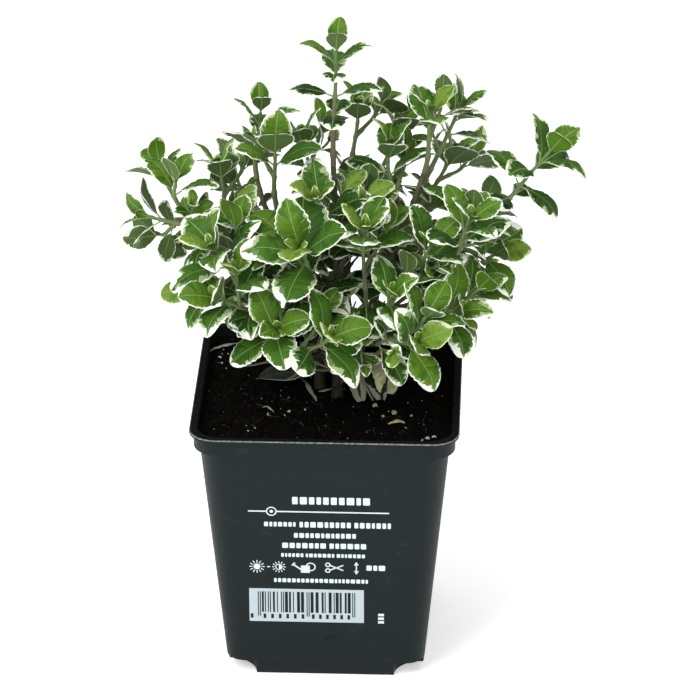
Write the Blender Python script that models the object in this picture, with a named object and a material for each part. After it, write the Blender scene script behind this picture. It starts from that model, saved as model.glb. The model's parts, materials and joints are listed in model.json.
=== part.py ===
"""A variegated evergreen shrublet standing in its square nursery pot.

The scene is in metres with +Z up. The origin is the middle of the pot's flat underside, +X is to the
right of someone who faces the pot's front, and the front looks along -Y. Lengths in this file are
millimetres and angles are degrees; each mesh is scaled to metres when it is finished.
"""

import math
import random
from dataclasses import dataclass

import bmesh
import bpy
from mathutils import Matrix, Quaternion, Vector
from mathutils.bvhtree import BVHTree
from mathutils.geometry import interpolate_bezier

MM = 0.001
# Clearance between solids that touch on the real plant
GAP = 0.3
UP = Vector((0.0, 0.0, 1.0))
FRAME_ORIGIN = Vector((0.0, 0.0, 0.0))

# Pot: outer sizes are half widths of its square plan
POT_HEIGHT = 95.0
LIP_HALF = 45.0
LIP_DEPTH = 1.2
BAND_HALF = 43.6
BAND_DEPTH = 6.5
BODY_TOP_HALF = 42.3
BODY_FOOT_HALF = 33.4
MOUTH_HALF = 42.4
WALL = 1.0
LOW_WALL = 1.3
FLOOR = 1.2
LIP_CORNER = 10.0
BAND_CORNER = 9.0
BODY_CORNER = 8.0
INSIDE_CORNER = 7.0
CORNER_STEPS = 4
CHAMFERED_CORNER = 15.0
NOTCH_RADIUS = 10.0
NOTCH_HEIGHT = 5.0
SHELF = NOTCH_HEIGHT + 1.4
DRAIN_RADIUS = 2.0
DRAIN_PLACE = 28.0
# How far a cutter runs past what it cuts
OVERCUT = 0.5
ROUND_STEPS = 16

# Soil: its top lies this far below the lip
SOIL_DROP = 5.0
SOIL_LEVEL = POT_HEIGHT - SOIL_DROP
STEM_CUT = SOIL_LEVEL + GAP

# The plant's foot on the soil, a little off the pot's middle
FOOT = Vector((3.0, 4.0, STEM_CUT))

# Spacing of the other stems round the first one, which stands at the foot, where they leave the soil
STEM_SPACING = 6.2
FLARE_GIRTH = 1.35
FLARE_SHARE = 0.12
# Share of a stem's span that its curve's handles take, and how far growth at first follows its carrier
HANDLE_SHARE = 0.36
CARRIER_PULL = 0.35
LEAST_FORK = 30.0
LIMB_POINTS = 8
STEM_POINTS = 12
TWIG_POINTS = 6
SIDE_TWIG_POINTS = 4
TWIG_FOOT_RADIUS = 0.75
TWIG_TIP_RADIUS = 0.4
SIDE_TWIG_RADIUS = 0.6
SIDE_TWIG_LENGTH = (12.0, 17.0)
SIDE_TWIG_PAIRS = 2
SIDE_TWIG_LEAF = 0.9
SIDE_TWIG_TURNS = (45, -135, 135, -45, 0, 180, 90, -90)
SIDE_TWIG_ROLL = 50.0
SIDE_TWIG_STEP = 3.0

# Leaves, in crossed opposite pairs that are counted from the tip of their twig
STALK = 2.4
ROOT_DEPTH = 0.3
LEAF_BREADTH = 0.72
LEAF_CORE = 0.42
LEAF_CORE_REACH = 0.4
# Outline points by angle round the leaf: share of the blade's length, share of its half breadth
LEAF_OUTLINE = {0: (1.0, 0.0), 60: (0.68, 0.9), 120: (0.24, 0.9)}
FIRST_PAIR_DROP = 1.2
PAIR_SPACING = (3.5, 5.0, 6.5, 8.0, 9.0)
PAIR_PITCH = (20.0, 42.0, 58.0, 68.0, 76.0)
# How far each pair has grown from the size of the youngest to full size
PAIR_GROWTH = (0.0, 0.6, 1.0, 1.15, 1.0)
BARE_FOOT = 4.0
LIGHT_SEEKING = 0.45
SOIL_CLEARANCE = 1.0
PITCH_SPREAD = 7.0
TURN_SPREAD = 12.0
SIZE_SPREAD = 0.08
FOLD_RANGE = (8.0, 20.0)
CURL_RANGE = (12.0, 34.0)

# Ways in which a leaf may give way to what stands beside it: pitch, turn and size
LEAF_TRIES = (
    (0, 0, 1.0),
    (12, 0, 1.0),
    (-12, 0, 1.0),
    (0, 22, 1.0),
    (0, -22, 1.0),
    (14, 18, 0.88),
    (-14, -18, 0.88),
    (20, -20, 0.8),
    (0, 0, 0.75),
    (-20, 20, 0.7),
    (10, 35, 0.7),
    (10, -35, 0.7),
)
# Sideways bows, as shares of its length, by which a stem grows round what it meets
BOW_TRIES = (0.0, 0.1, -0.1, 0.18, -0.18, 0.26, -0.26)


@dataclass(frozen=True)
class Limb:
    """A stem or bough: what carries it, where it leaves that, and its tip, end direction and girth.

    It leaves a limb at a share of that limb's length, and the soil at a bearing round the plant's foot.
    """

    name: str
    carrier: str
    along: float
    tip: tuple
    heading: float
    rise: float
    foot_radius: float
    tip_radius: float


@dataclass(frozen=True)
class Shoot:
    """A mass of leaves: its limb, its growing tip, and the number, size and turn of its leaves.

    Its main twig leaves the limb at a share of its length and ends at the tip with a heading and a
    rise. The youngest pair of leaves is smaller than the others by the share named young.
    """

    name: str
    limb: str
    along: float
    tip: tuple
    heading: float
    rise: float
    pairs: int
    leaf: float
    roll: float
    sides: int
    young: float = 0.72


LIMBS = (
    Limb("stem_middle", "soil", 90.0, (1.6, 1.5, 174.0), 240, 86, 1.7, 0.9),
    Limb("stem_left", "soil", 180.0, (-17.5, 4.0, 158.0), 180, 78, 1.6, 0.9),
    Limb("stem_right", "soil", 0.0, (31.5, 6.0, 170.0), 5, 74, 1.7, 0.9),
    Limb("stem_front", "soil", 270.0, (-4.0, -19.0, 140.0), 255, 60, 1.6, 0.9),
    Limb("stem_back", "soil", 60.0, (6.0, 25.0, 158.0), 80, 76, 1.6, 0.9),
    Limb("bough_top_left", "stem_left", 0.62, (-24.5, 13.0, 164.0), 160, 78, 1.1, 0.8),
    Limb("bough_far_left", "stem_left", 0.42, (-43.0, 6.0, 146.0), 180, 50, 1.3, 0.85),
    Limb("bough_left_front", "stem_left", 0.28, (-25.0, -15.0, 132.0), 215, 50, 1.3, 0.85),
    Limb("bough_front_left", "stem_front", 0.30, (-9.0, -27.0, 118.0), 250, 48, 1.2, 0.85),
    Limb("bough_front_right", "stem_front", 0.42, (19.0, -26.0, 124.0), 300, 48, 1.2, 0.85),
    Limb("bough_right_front", "stem_right", 0.30, (35.0, -12.0, 134.0), 335, 50, 1.3, 0.85),
    Limb("bough_far_right", "stem_right", 0.42, (50.0, 9.0, 148.0), 5, 52, 1.3, 0.85),
    Limb("bough_back_left", "stem_back", 0.34, (-19.0, 29.0, 137.0), 130, 52, 1.2, 0.85),
    Limb("bough_back_right", "stem_back", 0.42, (27.0, 30.0, 142.0), 45, 54, 1.2, 0.85),
)

SHOOTS = (
    Shoot("leaves_top", "stem_middle", 1.00, (2.6, 0.0, 216.0), 265, 86, 5, 12.5, 90, 0, 0.78),
    Shoot("leaves_centre_front", "stem_front", 1.00, (-8.0, -31.0, 159.0), 255, 46, 4, 20.0, 85, 1, 0.86),
    Shoot("leaves_far_right", "bough_far_right", 1.00, (73.0, 5.0, 179.0), 0, 50, 4, 14.5, 60, 0, 0.85),
    Shoot("leaves_top_left", "bough_top_left", 1.00, (-23.3, 15.0, 187.5), 155, 86, 3, 13.0, 100, 0),
    Shoot("leaves_left_upright", "stem_left", 1.00, (-17.7, 0.0, 179.0), 260, 78, 3, 15.0, 90, 1, 0.95),
    Shoot("leaves_right_top", "stem_right", 1.00, (33.6, 4.0, 192.5), 0, 82, 3, 15.0, 20, 1),
    Shoot("leaves_far_left", "bough_far_left", 1.00, (-61.0, 10.0, 151.0), 185, 22, 3, 14.0, 30, 1),
    Shoot("leaves_left_high", "bough_far_left", 0.80, (-51.0, 2.0, 167.0), 20, 66, 3, 15.0, 60, 1),
    Shoot("leaves_left_back", "bough_far_left", 0.62, (-37.5, 17.0, 166.0), 160, 72, 3, 15.0, 0, 1),
    Shoot("leaves_left_middle", "bough_left_front", 1.00, (-36.5, -23.0, 155.0), 215, 48, 4, 18.0, 20, 1),
    Shoot("leaves_left_inner", "bough_left_front", 0.78, (-29.0, -8.0, 158.0), 200, 66, 3, 15.0, 60, 0),
    Shoot("leaves_left_low", "bough_left_front", 0.60, (-34.0, -32.0, 141.0), 230, 38, 3, 18.0, 0, 1),
    Shoot("leaves_left_lower", "bough_far_left", 0.45, (-43.0, -6.0, 131.0), 200, 34, 3, 15.0, 0, 0),
    Shoot("leaves_centre_upper", "stem_middle", 0.60, (-3.0, -12.0, 168.0), 250, 56, 4, 16.0, 0, 1),
    Shoot("leaves_centre_upper_right", "stem_middle", 0.52, (11.0, -8.0, 166.0), 305, 56, 4, 16.0, 30, 1),
    Shoot("leaves_centre_right", "bough_front_right", 0.50, (13.0, -22.0, 162.0), 290, 60, 4, 16.0, 0, 2),
    Shoot("leaves_front_right", "bough_front_right", 1.00, (30.0, -40.0, 130.0), 300, 42, 3, 17.0, 30, 1),
    Shoot("leaves_front_right_upper", "bough_front_right", 0.60, (22.0, -31.0, 142.0), 290, 48, 3, 16.0, 20, 1),
    Shoot("leaves_front_left", "bough_front_left", 0.75, (-15.5, -36.0, 132.0), 245, 45, 4, 17.0, 20, 1),
    Shoot("leaves_front_centre", "bough_front_left", 1.00, (1.5, -41.0, 131.0), 270, 45, 4, 17.0, 30, 1),
    Shoot("leaves_right_front", "bough_right_front", 1.00, (47.0, -23.0, 166.0), 330, 64, 4, 16.0, 30, 1),
    Shoot("leaves_right_middle", "bough_right_front", 0.80, (35.0, -20.0, 156.0), 325, 66, 3, 16.0, 60, 0),
    Shoot("leaves_right_low", "bough_right_front", 0.62, (42.0, -25.0, 134.0), 325, 34, 3, 17.0, 0, 1),
    Shoot("leaves_right_lower", "bough_right_front", 0.42, (49.0, -5.0, 131.0), 350, 36, 3, 15.0, 0, 0),
    Shoot("leaves_right_outer", "bough_far_right", 0.72, (55.0, -4.0, 145.0), 350, 44, 3, 15.0, 20, 0),
    Shoot("leaves_right_old", "bough_far_right", 0.55, (51.0, 20.0, 152.0), 20, 50, 3, 15.0, 50, 1),
    Shoot("leaves_right_top_back", "stem_right", 0.88, (43.0, 20.0, 188.0), 20, 66, 3, 14.0, 30, 0),
    Shoot("leaves_upper_right", "stem_right", 0.76, (20.0, 8.0, 178.0), 15, 74, 4, 15.0, 0, 1),
    Shoot("leaves_upper_back", "stem_back", 1.00, (9.0, 27.0, 184.0), 75, 80, 3, 14.0, 0, 1),
    Shoot("leaves_back_upper_right", "stem_back", 0.80, (22.0, 26.0, 178.0), 50, 70, 3, 15.0, 30, 1),
    Shoot("leaves_back_upper_left", "stem_back", 0.74, (-10.0, 30.0, 172.0), 115, 68, 3, 15.0, 0, 1),
    Shoot("leaves_back_middle", "stem_back", 0.55, (5.0, 44.0, 150.0), 85, 52, 3, 17.0, 20, 1),
    Shoot("leaves_back_low", "stem_back", 0.36, (2.0, 46.0, 128.0), 90, 38, 3, 16.0, 0, 0),
    Shoot("leaves_back_left", "bough_back_left", 1.00, (-36.0, 38.0, 154.0), 140, 58, 3, 16.0, 20, 1),
    Shoot("leaves_back_left_low", "bough_back_left", 0.70, (-32.0, 44.0, 132.0), 130, 40, 3, 16.0, 0, 0),
    Shoot("leaves_left_outer_back", "bough_back_left", 0.52, (-46.0, 27.0, 140.0), 155, 42, 3, 16.0, 40, 0),
    Shoot("leaves_back_right", "bough_back_right", 1.00, (40.0, 40.0, 162.0), 45, 60, 3, 16.0, 20, 1),
    Shoot("leaves_back_right_low", "bough_back_right", 0.72, (28.0, 47.0, 136.0), 60, 42, 3, 16.0, 0, 0),
    Shoot("leaves_right_outer_back", "bough_back_right", 0.52, (49.0, 29.0, 138.0), 30, 42, 3, 16.0, 40, 0),
    Shoot("leaves_inner_low_left", "stem_left", 0.24, (-26.0, 12.0, 124.0), 165, 40, 3, 15.0, 0, 0),
    Shoot("leaves_inner_low_right", "stem_right", 0.24, (28.0, 12.0, 124.0), 20, 40, 3, 15.0, 0, 0),
)


@dataclass
class Path:
    """The centre line of a limb or twig with its radius at each point."""

    points: list
    radii: list

    def spot(self, share):
        """Return the point, direction and radius at a share of the length."""
        last = len(self.points) - 1
        index = min(int(share * last), last - 1)
        rest = share * last - index
        way = (self.points[index + 1] - self.points[index]).normalized()
        radius = self.radii[index] + (self.radii[index + 1] - self.radii[index]) * rest
        return self.points[index].lerp(self.points[index + 1], rest), way, radius

    def length(self):
        """Return the length of the centre line."""
        return sum((after - before).length for before, after in zip(self.points, self.points[1:]))


@dataclass
class Twig:
    """A leafy twig: its name, its path, and how many leaves it carries, how large and how turned."""

    name: str
    path: Path
    pairs: int
    leaf: float
    young: float
    roll: float


@dataclass
class Leaf:
    """One leaf: where its stalk springs, the way it points, the way its face looks, and its form."""

    root: Vector
    along: Vector
    face: Vector
    length: float
    fold: float
    curl: float

    def spot(self, reach, across, lift):
        """Return the point at a share of the blade, a share of its half breadth and a height over it."""
        bend = math.radians(self.curl)
        turn = bend * reach
        run = STALK + self.length * math.sin(turn) / bend
        drop = self.length * (1.0 - math.cos(turn)) / bend
        half = 0.5 * LEAF_BREADTH * self.length * across
        fold = math.radians(self.fold)
        height = lift - drop + abs(half) * math.sin(fold)
        side = self.face.cross(self.along) * (half * math.cos(fold))
        return self.root + self.along * run + side + self.face * height


class Room:
    """The space that is taken, so that new growth stays clear of it."""

    def __init__(self):
        self.taken = []

    def add(self, owner, corners, faces):
        """Remember a body's surface under its owner's name."""
        self.taken.append((owner, *box_of(corners), BVHTree.FromPolygons(corners, faces)))

    def is_clear(self, corners, faces, skip=()):
        """Tell whether a body's surface cuts none of those taken, apart from the owners to skip."""
        low, high = box_of(corners)
        tree = BVHTree.FromPolygons(corners, faces)
        for owner, other_low, other_high, other in self.taken:
            apart = any(low[i] > other_high[i] or high[i] < other_low[i] for i in range(3))
            if owner not in skip and not apart and tree.overlap(other):
                return False
        return True


def box_of(corners):
    """Return the lowest and highest corner of a set of points."""
    low = [min(corner[i] for corner in corners) for i in range(3)]
    high = [max(corner[i] for corner in corners) for i in range(3)]
    return low, high


def ringed_surface(rings):
    """Return corners and faces of a skin that links each ring of points to the next."""
    sides = len(rings[0])
    corners = [corner for ring in rings for corner in ring]
    faces = []
    for first in range(0, len(corners) - sides, sides):
        for step in range(sides):
            low = first + step
            beside = first + (step + 1) % sides
            faces.append((low, beside, beside + sides, low + sides))
    return corners, faces


def tube_surface(path, swell=0.0, sides=5):
    """Return corners and faces of a path's skin, thicker than the path by swell."""
    rings = []
    side = (path.points[1] - path.points[0]).orthogonal()
    for index, (point, radius) in enumerate(zip(path.points, path.radii)):
        before = path.points[max(index - 1, 0)]
        after = path.points[min(index + 1, len(path.points) - 1)]
        way = (after - before).normalized()
        side = (side - way * side.dot(way)).normalized()
        turns = [Quaternion(way, math.tau * step / sides) for step in range(sides)]
        rings.append([point + turn @ side * (radius + swell) for turn in turns])
    corners, faces = ringed_surface(rings)
    faces.append(tuple(range(sides)))
    faces.append(tuple(range(len(corners) - sides, len(corners))))
    return corners, faces


def rim_surface():
    """Return corners and faces of the pot's rim as leaves meet it: its inside, top and outside."""
    inner = MOUTH_HALF - GAP
    outer = LIP_HALF + GAP
    top = POT_HEIGHT + GAP
    section = ((inner, SOIL_LEVEL), (inner, top), (outer, top), (outer, 0.5 * POT_HEIGHT))
    square = ((1, 1), (-1, 1), (-1, -1), (1, -1))
    return ringed_surface([[Vector((x * half, y * half, z)) for x, y in square] for half, z in section])


def leaf_shape(leaf, swell=0.0):
    """Return a leaf's solid as a bmesh: a flat double pyramid over an oval outline with a stalk.

    Args:
        leaf: The leaf to shape.
        swell: How much the solid grows on every side, to keep clear of its neighbours.
    """
    shape = bmesh.new()
    quarter = Matrix.Rotation(math.radians(90.0), 4, "Z")
    bmesh.ops.create_uvsphere(shape, u_segments=6, v_segments=2, radius=1.0, matrix=quarter)
    spread = 1.0 + 2.0 * swell / leaf.length
    for vert in shape.verts:
        angle = round(math.degrees(math.atan2(vert.co.y, vert.co.x)))
        if abs(vert.co.z) > 0.5:
            vert.co = leaf.spot(LEAF_CORE_REACH, 0.0, math.copysign(LEAF_CORE + swell, vert.co.z))
        elif abs(angle) == 180:
            vert.co = leaf.root - leaf.along * ROOT_DEPTH
        else:
            reach, across = LEAF_OUTLINE[abs(angle)]
            vert.co = leaf.spot(reach * spread, math.copysign(across * spread, angle), 0.0)
    return shape


def leaf_surface(leaf, swell=0.0):
    """Return corners and faces of a leaf's solid."""
    shape = leaf_shape(leaf, swell)
    shape.verts.index_update()
    corners = [vert.co.copy() for vert in shape.verts]
    faces = [[vert.index for vert in face.verts] for face in shape.faces]
    shape.free()
    return corners, faces


def raised_way(heading, rise):
    """Return the direction that lies at a heading on the plan and is raised by an angle."""
    turn = math.radians(heading)
    angle = math.radians(rise)
    return Vector((math.cos(turn) * math.cos(angle), math.sin(turn) * math.cos(angle), math.sin(angle)))


def turned_outward(way, turn):
    """Return the direction square to a twig that lies at an angle round it from the plant's right."""
    right = Vector((1.0, 0.0, 0.0))
    right = (right - way * right.dot(way)).normalized()
    return Quaternion(way, math.radians(turn)) @ right


def curve_points(start, start_way, tip, tip_way, bow, count):
    """Return points on one smooth curve from start to tip that bows aside by a share of its length."""
    span = (tip - start).length
    aside = (tip - start).cross(UP).normalized() * (bow * span)
    first = start + start_way * (HANDLE_SHARE * span) + aside
    second = tip - tip_way * (HANDLE_SHARE * span) + aside
    return interpolate_bezier(start, first, second, tip, count)


def fork_start(path, share, tip, radius):
    """Return where growth clears its carrier's skin, and the direction in which it leaves.

    Args:
        path: The carrier's path.
        share: The share of the carrier's length where the growth leaves it, or 1 for its tip.
        tip: The point that the growth makes for.
        radius: The growth's own radius at its foot.
    """
    place, way, girth = path.spot(share)
    if share == 1.0:
        return place + way * GAP, way
    start_way = ((tip - place).normalized() + way * CARRIER_PULL).normalized()
    across = start_way - way * start_way.dot(way)
    least = math.radians(LEAST_FORK)
    if across.length < math.sin(least):
        start_way = across.normalized() * math.sin(least) + way * math.cos(least)
    angle = start_way.angle(way)
    away = (girth + GAP) / math.sin(angle) + radius / abs(math.tan(angle))
    return place + start_way * (away + 0.5 * GAP), start_way


def taper(foot, tip, count, flared=False):
    """Return radii that thin evenly from foot to tip, with a wider foot where it is flared."""
    radii = []
    for index in range(count):
        share = index / (count - 1)
        flare = (FLARE_GIRTH - 1.0) * max(0.0, 1.0 - share / FLARE_SHARE) if flared else 0.0
        radii.append((foot + (tip - foot) * share) * (1.0 + flare))
    return radii


def grow_path(name, start, start_way, tip, tip_way, radii, room):
    """Return a path from start to tip, bowed as little as keeps it clear of what has grown."""
    for bow in BOW_TRIES:
        path = Path(curve_points(start, start_way, tip, tip_way, bow, len(radii)), radii)
        if room.is_clear(*tube_surface(path, GAP)):
            room.add(name, *tube_surface(path))
            return path
    raise ValueError(f"{name} has no way that is clear")


def grow_limb(limb, paths, room):
    """Return the path of a stem from the soil, or of a bough from its carrier."""
    tip = Vector(limb.tip)
    rooted = limb.carrier == "soil"
    if rooted:
        spacing = 0.0 if limb is LIMBS[0] else STEM_SPACING
        start = FOOT + raised_way(limb.along, 0.0) * spacing
        start_way = UP
        radii = taper(limb.foot_radius, limb.tip_radius, STEM_POINTS, flared=True)
    else:
        start, start_way = fork_start(paths[limb.carrier], limb.along, tip, limb.foot_radius)
        radii = taper(limb.foot_radius, limb.tip_radius, LIMB_POINTS)
    return grow_path(limb.name, start, start_way, tip, raised_way(limb.heading, limb.rise), radii, room)


def grow_main_twig(shoot, paths, room):
    """Return the main twig of a shoot."""
    tip = Vector(shoot.tip)
    start, start_way = fork_start(paths[shoot.limb], shoot.along, tip, TWIG_FOOT_RADIUS)
    radii = taper(TWIG_FOOT_RADIUS, TWIG_TIP_RADIUS, TWIG_POINTS)
    tip_way = raised_way(shoot.heading, shoot.rise)
    path = grow_path(shoot.name, start, start_way, tip, tip_way, radii, room)
    return Twig(shoot.name, path, shoot.pairs, shoot.leaf, shoot.young, shoot.roll)


def grow_side_twig(shoot, index, main, chance, room):
    """Return a side twig from one of the shoot's lower leaf axils, or None where it has no room."""
    drop = FIRST_PAIR_DROP + sum(PAIR_SPACING[: shoot.pairs - 1]) + SIDE_TWIG_STEP * index
    if drop > main.path.length() - BARE_FOOT:
        return None
    place, way, _ = main.path.spot(1.0 - drop / main.path.length())
    radii = taper(SIDE_TWIG_RADIUS, TWIG_TIP_RADIUS, SIDE_TWIG_POINTS)
    for turn in SIDE_TWIG_TURNS:
        start_way = (way + turned_outward(way, shoot.roll + turn)).normalized()
        tip_way = (start_way + UP).normalized()
        tip = place + start_way * chance.uniform(*SIDE_TWIG_LENGTH)
        path = Path(curve_points(place, start_way, tip, tip_way, 0.0, SIDE_TWIG_POINTS), radii)
        if room.is_clear(*tube_surface(path, GAP), skip=(shoot.name,)):
            name = f"{shoot.name} side {index}"
            room.add(name, *tube_surface(path))
            size = SIDE_TWIG_LEAF * shoot.leaf
            return Twig(name, path, SIDE_TWIG_PAIRS, size, shoot.young, shoot.roll + SIDE_TWIG_ROLL)
    return None


def grow_leaf(twig, pair, half, drop, chance, room):
    """Place one leaf where it is clear of all that has grown, or leave it out and return None.

    Args:
        twig: The twig that carries it.
        pair: The number of its pair, counted from the twig's tip.
        half: 0 or 180 degrees, its side of the pair.
        drop: The distance of the pair below the twig's tip.
        chance: The shoot's own source of small variations.
        room: What has grown so far.
    """
    place, way, _ = twig.path.spot(1.0 - drop / twig.path.length())
    pitch = PAIR_PITCH[pair] + chance.uniform(-PITCH_SPREAD, PITCH_SPREAD)
    turn = twig.roll + 90.0 * pair + half + chance.uniform(-TURN_SPREAD, TURN_SPREAD)
    length = twig.leaf * (twig.young + (1.0 - twig.young) * PAIR_GROWTH[pair])
    length *= 1.0 + chance.uniform(-SIZE_SPREAD, SIZE_SPREAD)
    form = (chance.uniform(*FOLD_RANGE), chance.uniform(*CURL_RANGE))
    node = f"{twig.name} pair {pair}"
    for more_pitch, more_turn, size in LEAF_TRIES:
        angle = math.radians(pitch + more_pitch)
        outward = turned_outward(way, turn + more_turn)
        along = way * math.cos(angle) + outward * math.sin(angle)
        face = way * math.sin(angle) - outward * math.cos(angle) + UP * LIGHT_SEEKING
        face = (face - along * face.dot(along)).normalized()
        leaf = Leaf(place, along, face, length * size, *form)
        corners, faces = leaf_surface(leaf, GAP)
        above_soil = min(corner.z for corner in corners) > SOIL_LEVEL + SOIL_CLEARANCE
        if above_soil and room.is_clear(corners, faces, skip=(twig.name, node)):
            room.add(node, *leaf_surface(leaf))
            return leaf
    return None


def grow_leaves(twig, chance, room):
    """Return a twig's leaves, in crossed opposite pairs down from its tip."""
    leaves = []
    drop = FIRST_PAIR_DROP
    for pair in range(twig.pairs):
        if drop > twig.path.length() - BARE_FOOT:
            break
        leaves += [grow_leaf(twig, pair, half, drop, chance, room) for half in (0.0, 180.0)]
        drop += PAIR_SPACING[pair]
    return [leaf for leaf in leaves if leaf]


def grow_plant():
    """Return the paths of all limbs, and each shoot's twigs and leaves."""
    room = Room()
    room.add("rim", *rim_surface())
    paths = {}
    for limb in LIMBS:
        paths[limb.name] = grow_limb(limb, paths, room)
    twigs = {shoot.name: [grow_main_twig(shoot, paths, room)] for shoot in SHOOTS}
    chances = {shoot.name: random.Random(shoot.name) for shoot in SHOOTS}
    for shoot in SHOOTS:
        main_twig = twigs[shoot.name][0]
        for index in range(shoot.sides):
            side_twig = grow_side_twig(shoot, index, main_twig, chances[shoot.name], room)
            twigs[shoot.name] += [side_twig] if side_twig else []
    leaves = {}
    for shoot in SHOOTS:
        grown = [grow_leaves(twig, chances[shoot.name], room) for twig in twigs[shoot.name]]
        leaves[shoot.name] = [leaf for group in grown for leaf in group]
    return paths, twigs, leaves


def finish(shape, name, origin=FRAME_ORIGIN):
    """Return a new object in metres from a bmesh in millimetres, with its own origin."""
    bmesh.ops.recalc_face_normals(shape, faces=shape.faces)
    shape.transform(Matrix.Scale(MM, 4) @ Matrix.Translation(-origin))
    mesh = bpy.data.meshes.new(name)
    shape.to_mesh(mesh)
    shape.free()
    piece = bpy.data.objects.new(name, mesh)
    piece.location = origin * MM
    return piece


def rounded_block(name, low, high, low_half, high_half, radius, steps=CORNER_STEPS):
    """Return a square block between two heights, with its half widths there and rounded upright edges."""
    shape = bmesh.new()
    bmesh.ops.create_cube(shape, size=2.0)
    for vert in shape.verts:
        height, half = (high, high_half) if vert.co.z > 0 else (low, low_half)
        vert.co = (vert.co.x * half, vert.co.y * half, height)
    upright = [edge for edge in shape.edges if edge.verts[0].co.z != edge.verts[1].co.z]
    bmesh.ops.bevel(shape, geom=upright, offset=radius, segments=steps, profile=0.5, affect="EDGES")
    return finish(shape, name)


def upright_cylinder(name, low, high, radius, place):
    """Return an upright cylinder between two heights, out along both axes by place."""
    shape = bmesh.new()
    depth = high - low
    bmesh.ops.create_cone(
        shape, cap_ends=True, segments=ROUND_STEPS, radius1=radius, radius2=radius, depth=depth
    )
    bmesh.ops.translate(shape, verts=shape.verts, vec=(*place, low + 0.5 * depth))
    return finish(shape, name)


def combine(piece, operation, tool, helpers):
    """Add a live Boolean with a helper object that is kept out of the renders."""
    helpers.objects.link(tool)
    tool.hide_render = True
    tool.display_type = "WIRE"
    modifier = piece.modifiers.new(tool.name, "BOOLEAN")
    modifier.operation = operation
    modifier.object = tool


def body_half(height):
    """Return the half width of the pot's tapered wall at a height, outside."""
    return BODY_FOOT_HALF + (BODY_TOP_HALF - BODY_FOOT_HALF) * height / POT_HEIGHT


def inside_block(name, low, high, inset, radius, steps=CORNER_STEPS):
    """Return a block that follows the pot's tapered wall between two heights, inset from its outside."""
    return rounded_block(name, low, high, body_half(low) - inset, body_half(high) - inset, radius, steps)


def build_pot(parts, helpers):
    """Build the square pot: tapered wall, band and lip, hollow, with four notched, drained corners."""
    band_low = POT_HEIGHT - BAND_DEPTH
    pot = inside_block("pot", 0.0, band_low + 2 * WALL, 0.0, BODY_CORNER)
    parts.objects.link(pot)
    lip_low = POT_HEIGHT - LIP_DEPTH
    band = rounded_block("pot_band", band_low, lip_low + OVERCUT, BAND_HALF, BAND_HALF, BAND_CORNER)
    combine(pot, "UNION", band, helpers)
    lip = rounded_block("pot_lip", lip_low, POT_HEIGHT, LIP_HALF, LIP_HALF, LIP_CORNER)
    combine(pot, "UNION", lip, helpers)
    ledge = band_low + WALL
    inside = inside_block("pot_inside", SHELF, ledge + OVERCUT, WALL, INSIDE_CORNER)
    combine(pot, "DIFFERENCE", inside, helpers)
    low_inside = inside_block("pot_low_inside", FLOOR, SHELF + OVERCUT, LOW_WALL, CHAMFERED_CORNER, 1)
    combine(pot, "DIFFERENCE", low_inside, helpers)
    mouth = rounded_block("pot_mouth", ledge, POT_HEIGHT + OVERCUT, MOUTH_HALF, MOUTH_HALF, BODY_CORNER)
    combine(pot, "DIFFERENCE", mouth, helpers)
    for number, (x, y) in enumerate(((1, 1), (-1, 1), (-1, -1), (1, -1))):
        corner = (x * BODY_FOOT_HALF, y * BODY_FOOT_HALF)
        notch = upright_cylinder(f"pot_notch_{number}", -OVERCUT, NOTCH_HEIGHT, NOTCH_RADIUS, corner)
        combine(pot, "DIFFERENCE", notch, helpers)
        outlet = (x * DRAIN_PLACE, y * DRAIN_PLACE)
        low = NOTCH_HEIGHT - OVERCUT
        drain = upright_cylinder(f"pot_drain_{number}", low, SHELF + OVERCUT, DRAIN_RADIUS, outlet)
        combine(pot, "DIFFERENCE", drain, helpers)
    return pot


def build_soil(parts, helpers):
    """Build the soil that fills the pot up to a little below its lip, just clear of the walls."""
    inset = WALL + GAP
    soil = inside_block("soil", SHELF + GAP, SOIL_LEVEL, inset, INSIDE_CORNER)
    parts.objects.link(soil)
    chamfer = CHAMFERED_CORNER + GAP
    low_inset = LOW_WALL + GAP
    foot = inside_block("soil_foot", FLOOR + GAP, SHELF + GAP + OVERCUT, low_inset, chamfer, 1)
    combine(soil, "UNION", foot, helpers)
    return soil


def triangle_profile():
    """Return the three-sided section that twigs are drawn with."""
    curve = bpy.data.curves.new("twig section", "CURVE")
    spline = curve.splines.new("POLY")
    spline.points.add(2)
    for index, point in enumerate(spline.points):
        angle = math.tau * index / 3
        point.co = (math.cos(angle), math.sin(angle), 0.0, 1.0)
    spline.use_cyclic_u = True
    return bpy.data.objects.new("twig section", curve)


def tube_shape(path, section=None):
    """Return a bmesh tube along a path, six-sided or with the section given."""
    curve = bpy.data.curves.new("tube", "CURVE")
    curve.dimensions = "3D"
    curve.use_fill_caps = True
    if section:
        curve.bevel_mode = "OBJECT"
        curve.bevel_object = section
    else:
        curve.bevel_depth = 1.0
        curve.bevel_resolution = 1
    spline = curve.splines.new("POLY")
    spline.points.add(len(path.points) - 1)
    for point, place, radius in zip(spline.points, path.points, path.radii):
        point.co = (*place, 1.0)
        point.radius = radius
    holder = bpy.data.objects.new("tube", curve)
    bpy.context.scene.collection.objects.link(holder)
    bpy.context.view_layer.update()
    evaluated = holder.evaluated_get(bpy.context.evaluated_depsgraph_get())
    mesh = bpy.data.meshes.new_from_object(evaluated)
    shape = bmesh.new()
    shape.from_mesh(mesh)
    bmesh.ops.remove_doubles(shape, verts=shape.verts, dist=0.001)
    bpy.data.meshes.remove(mesh)
    bpy.data.curves.remove(curve)
    return shape


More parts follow.
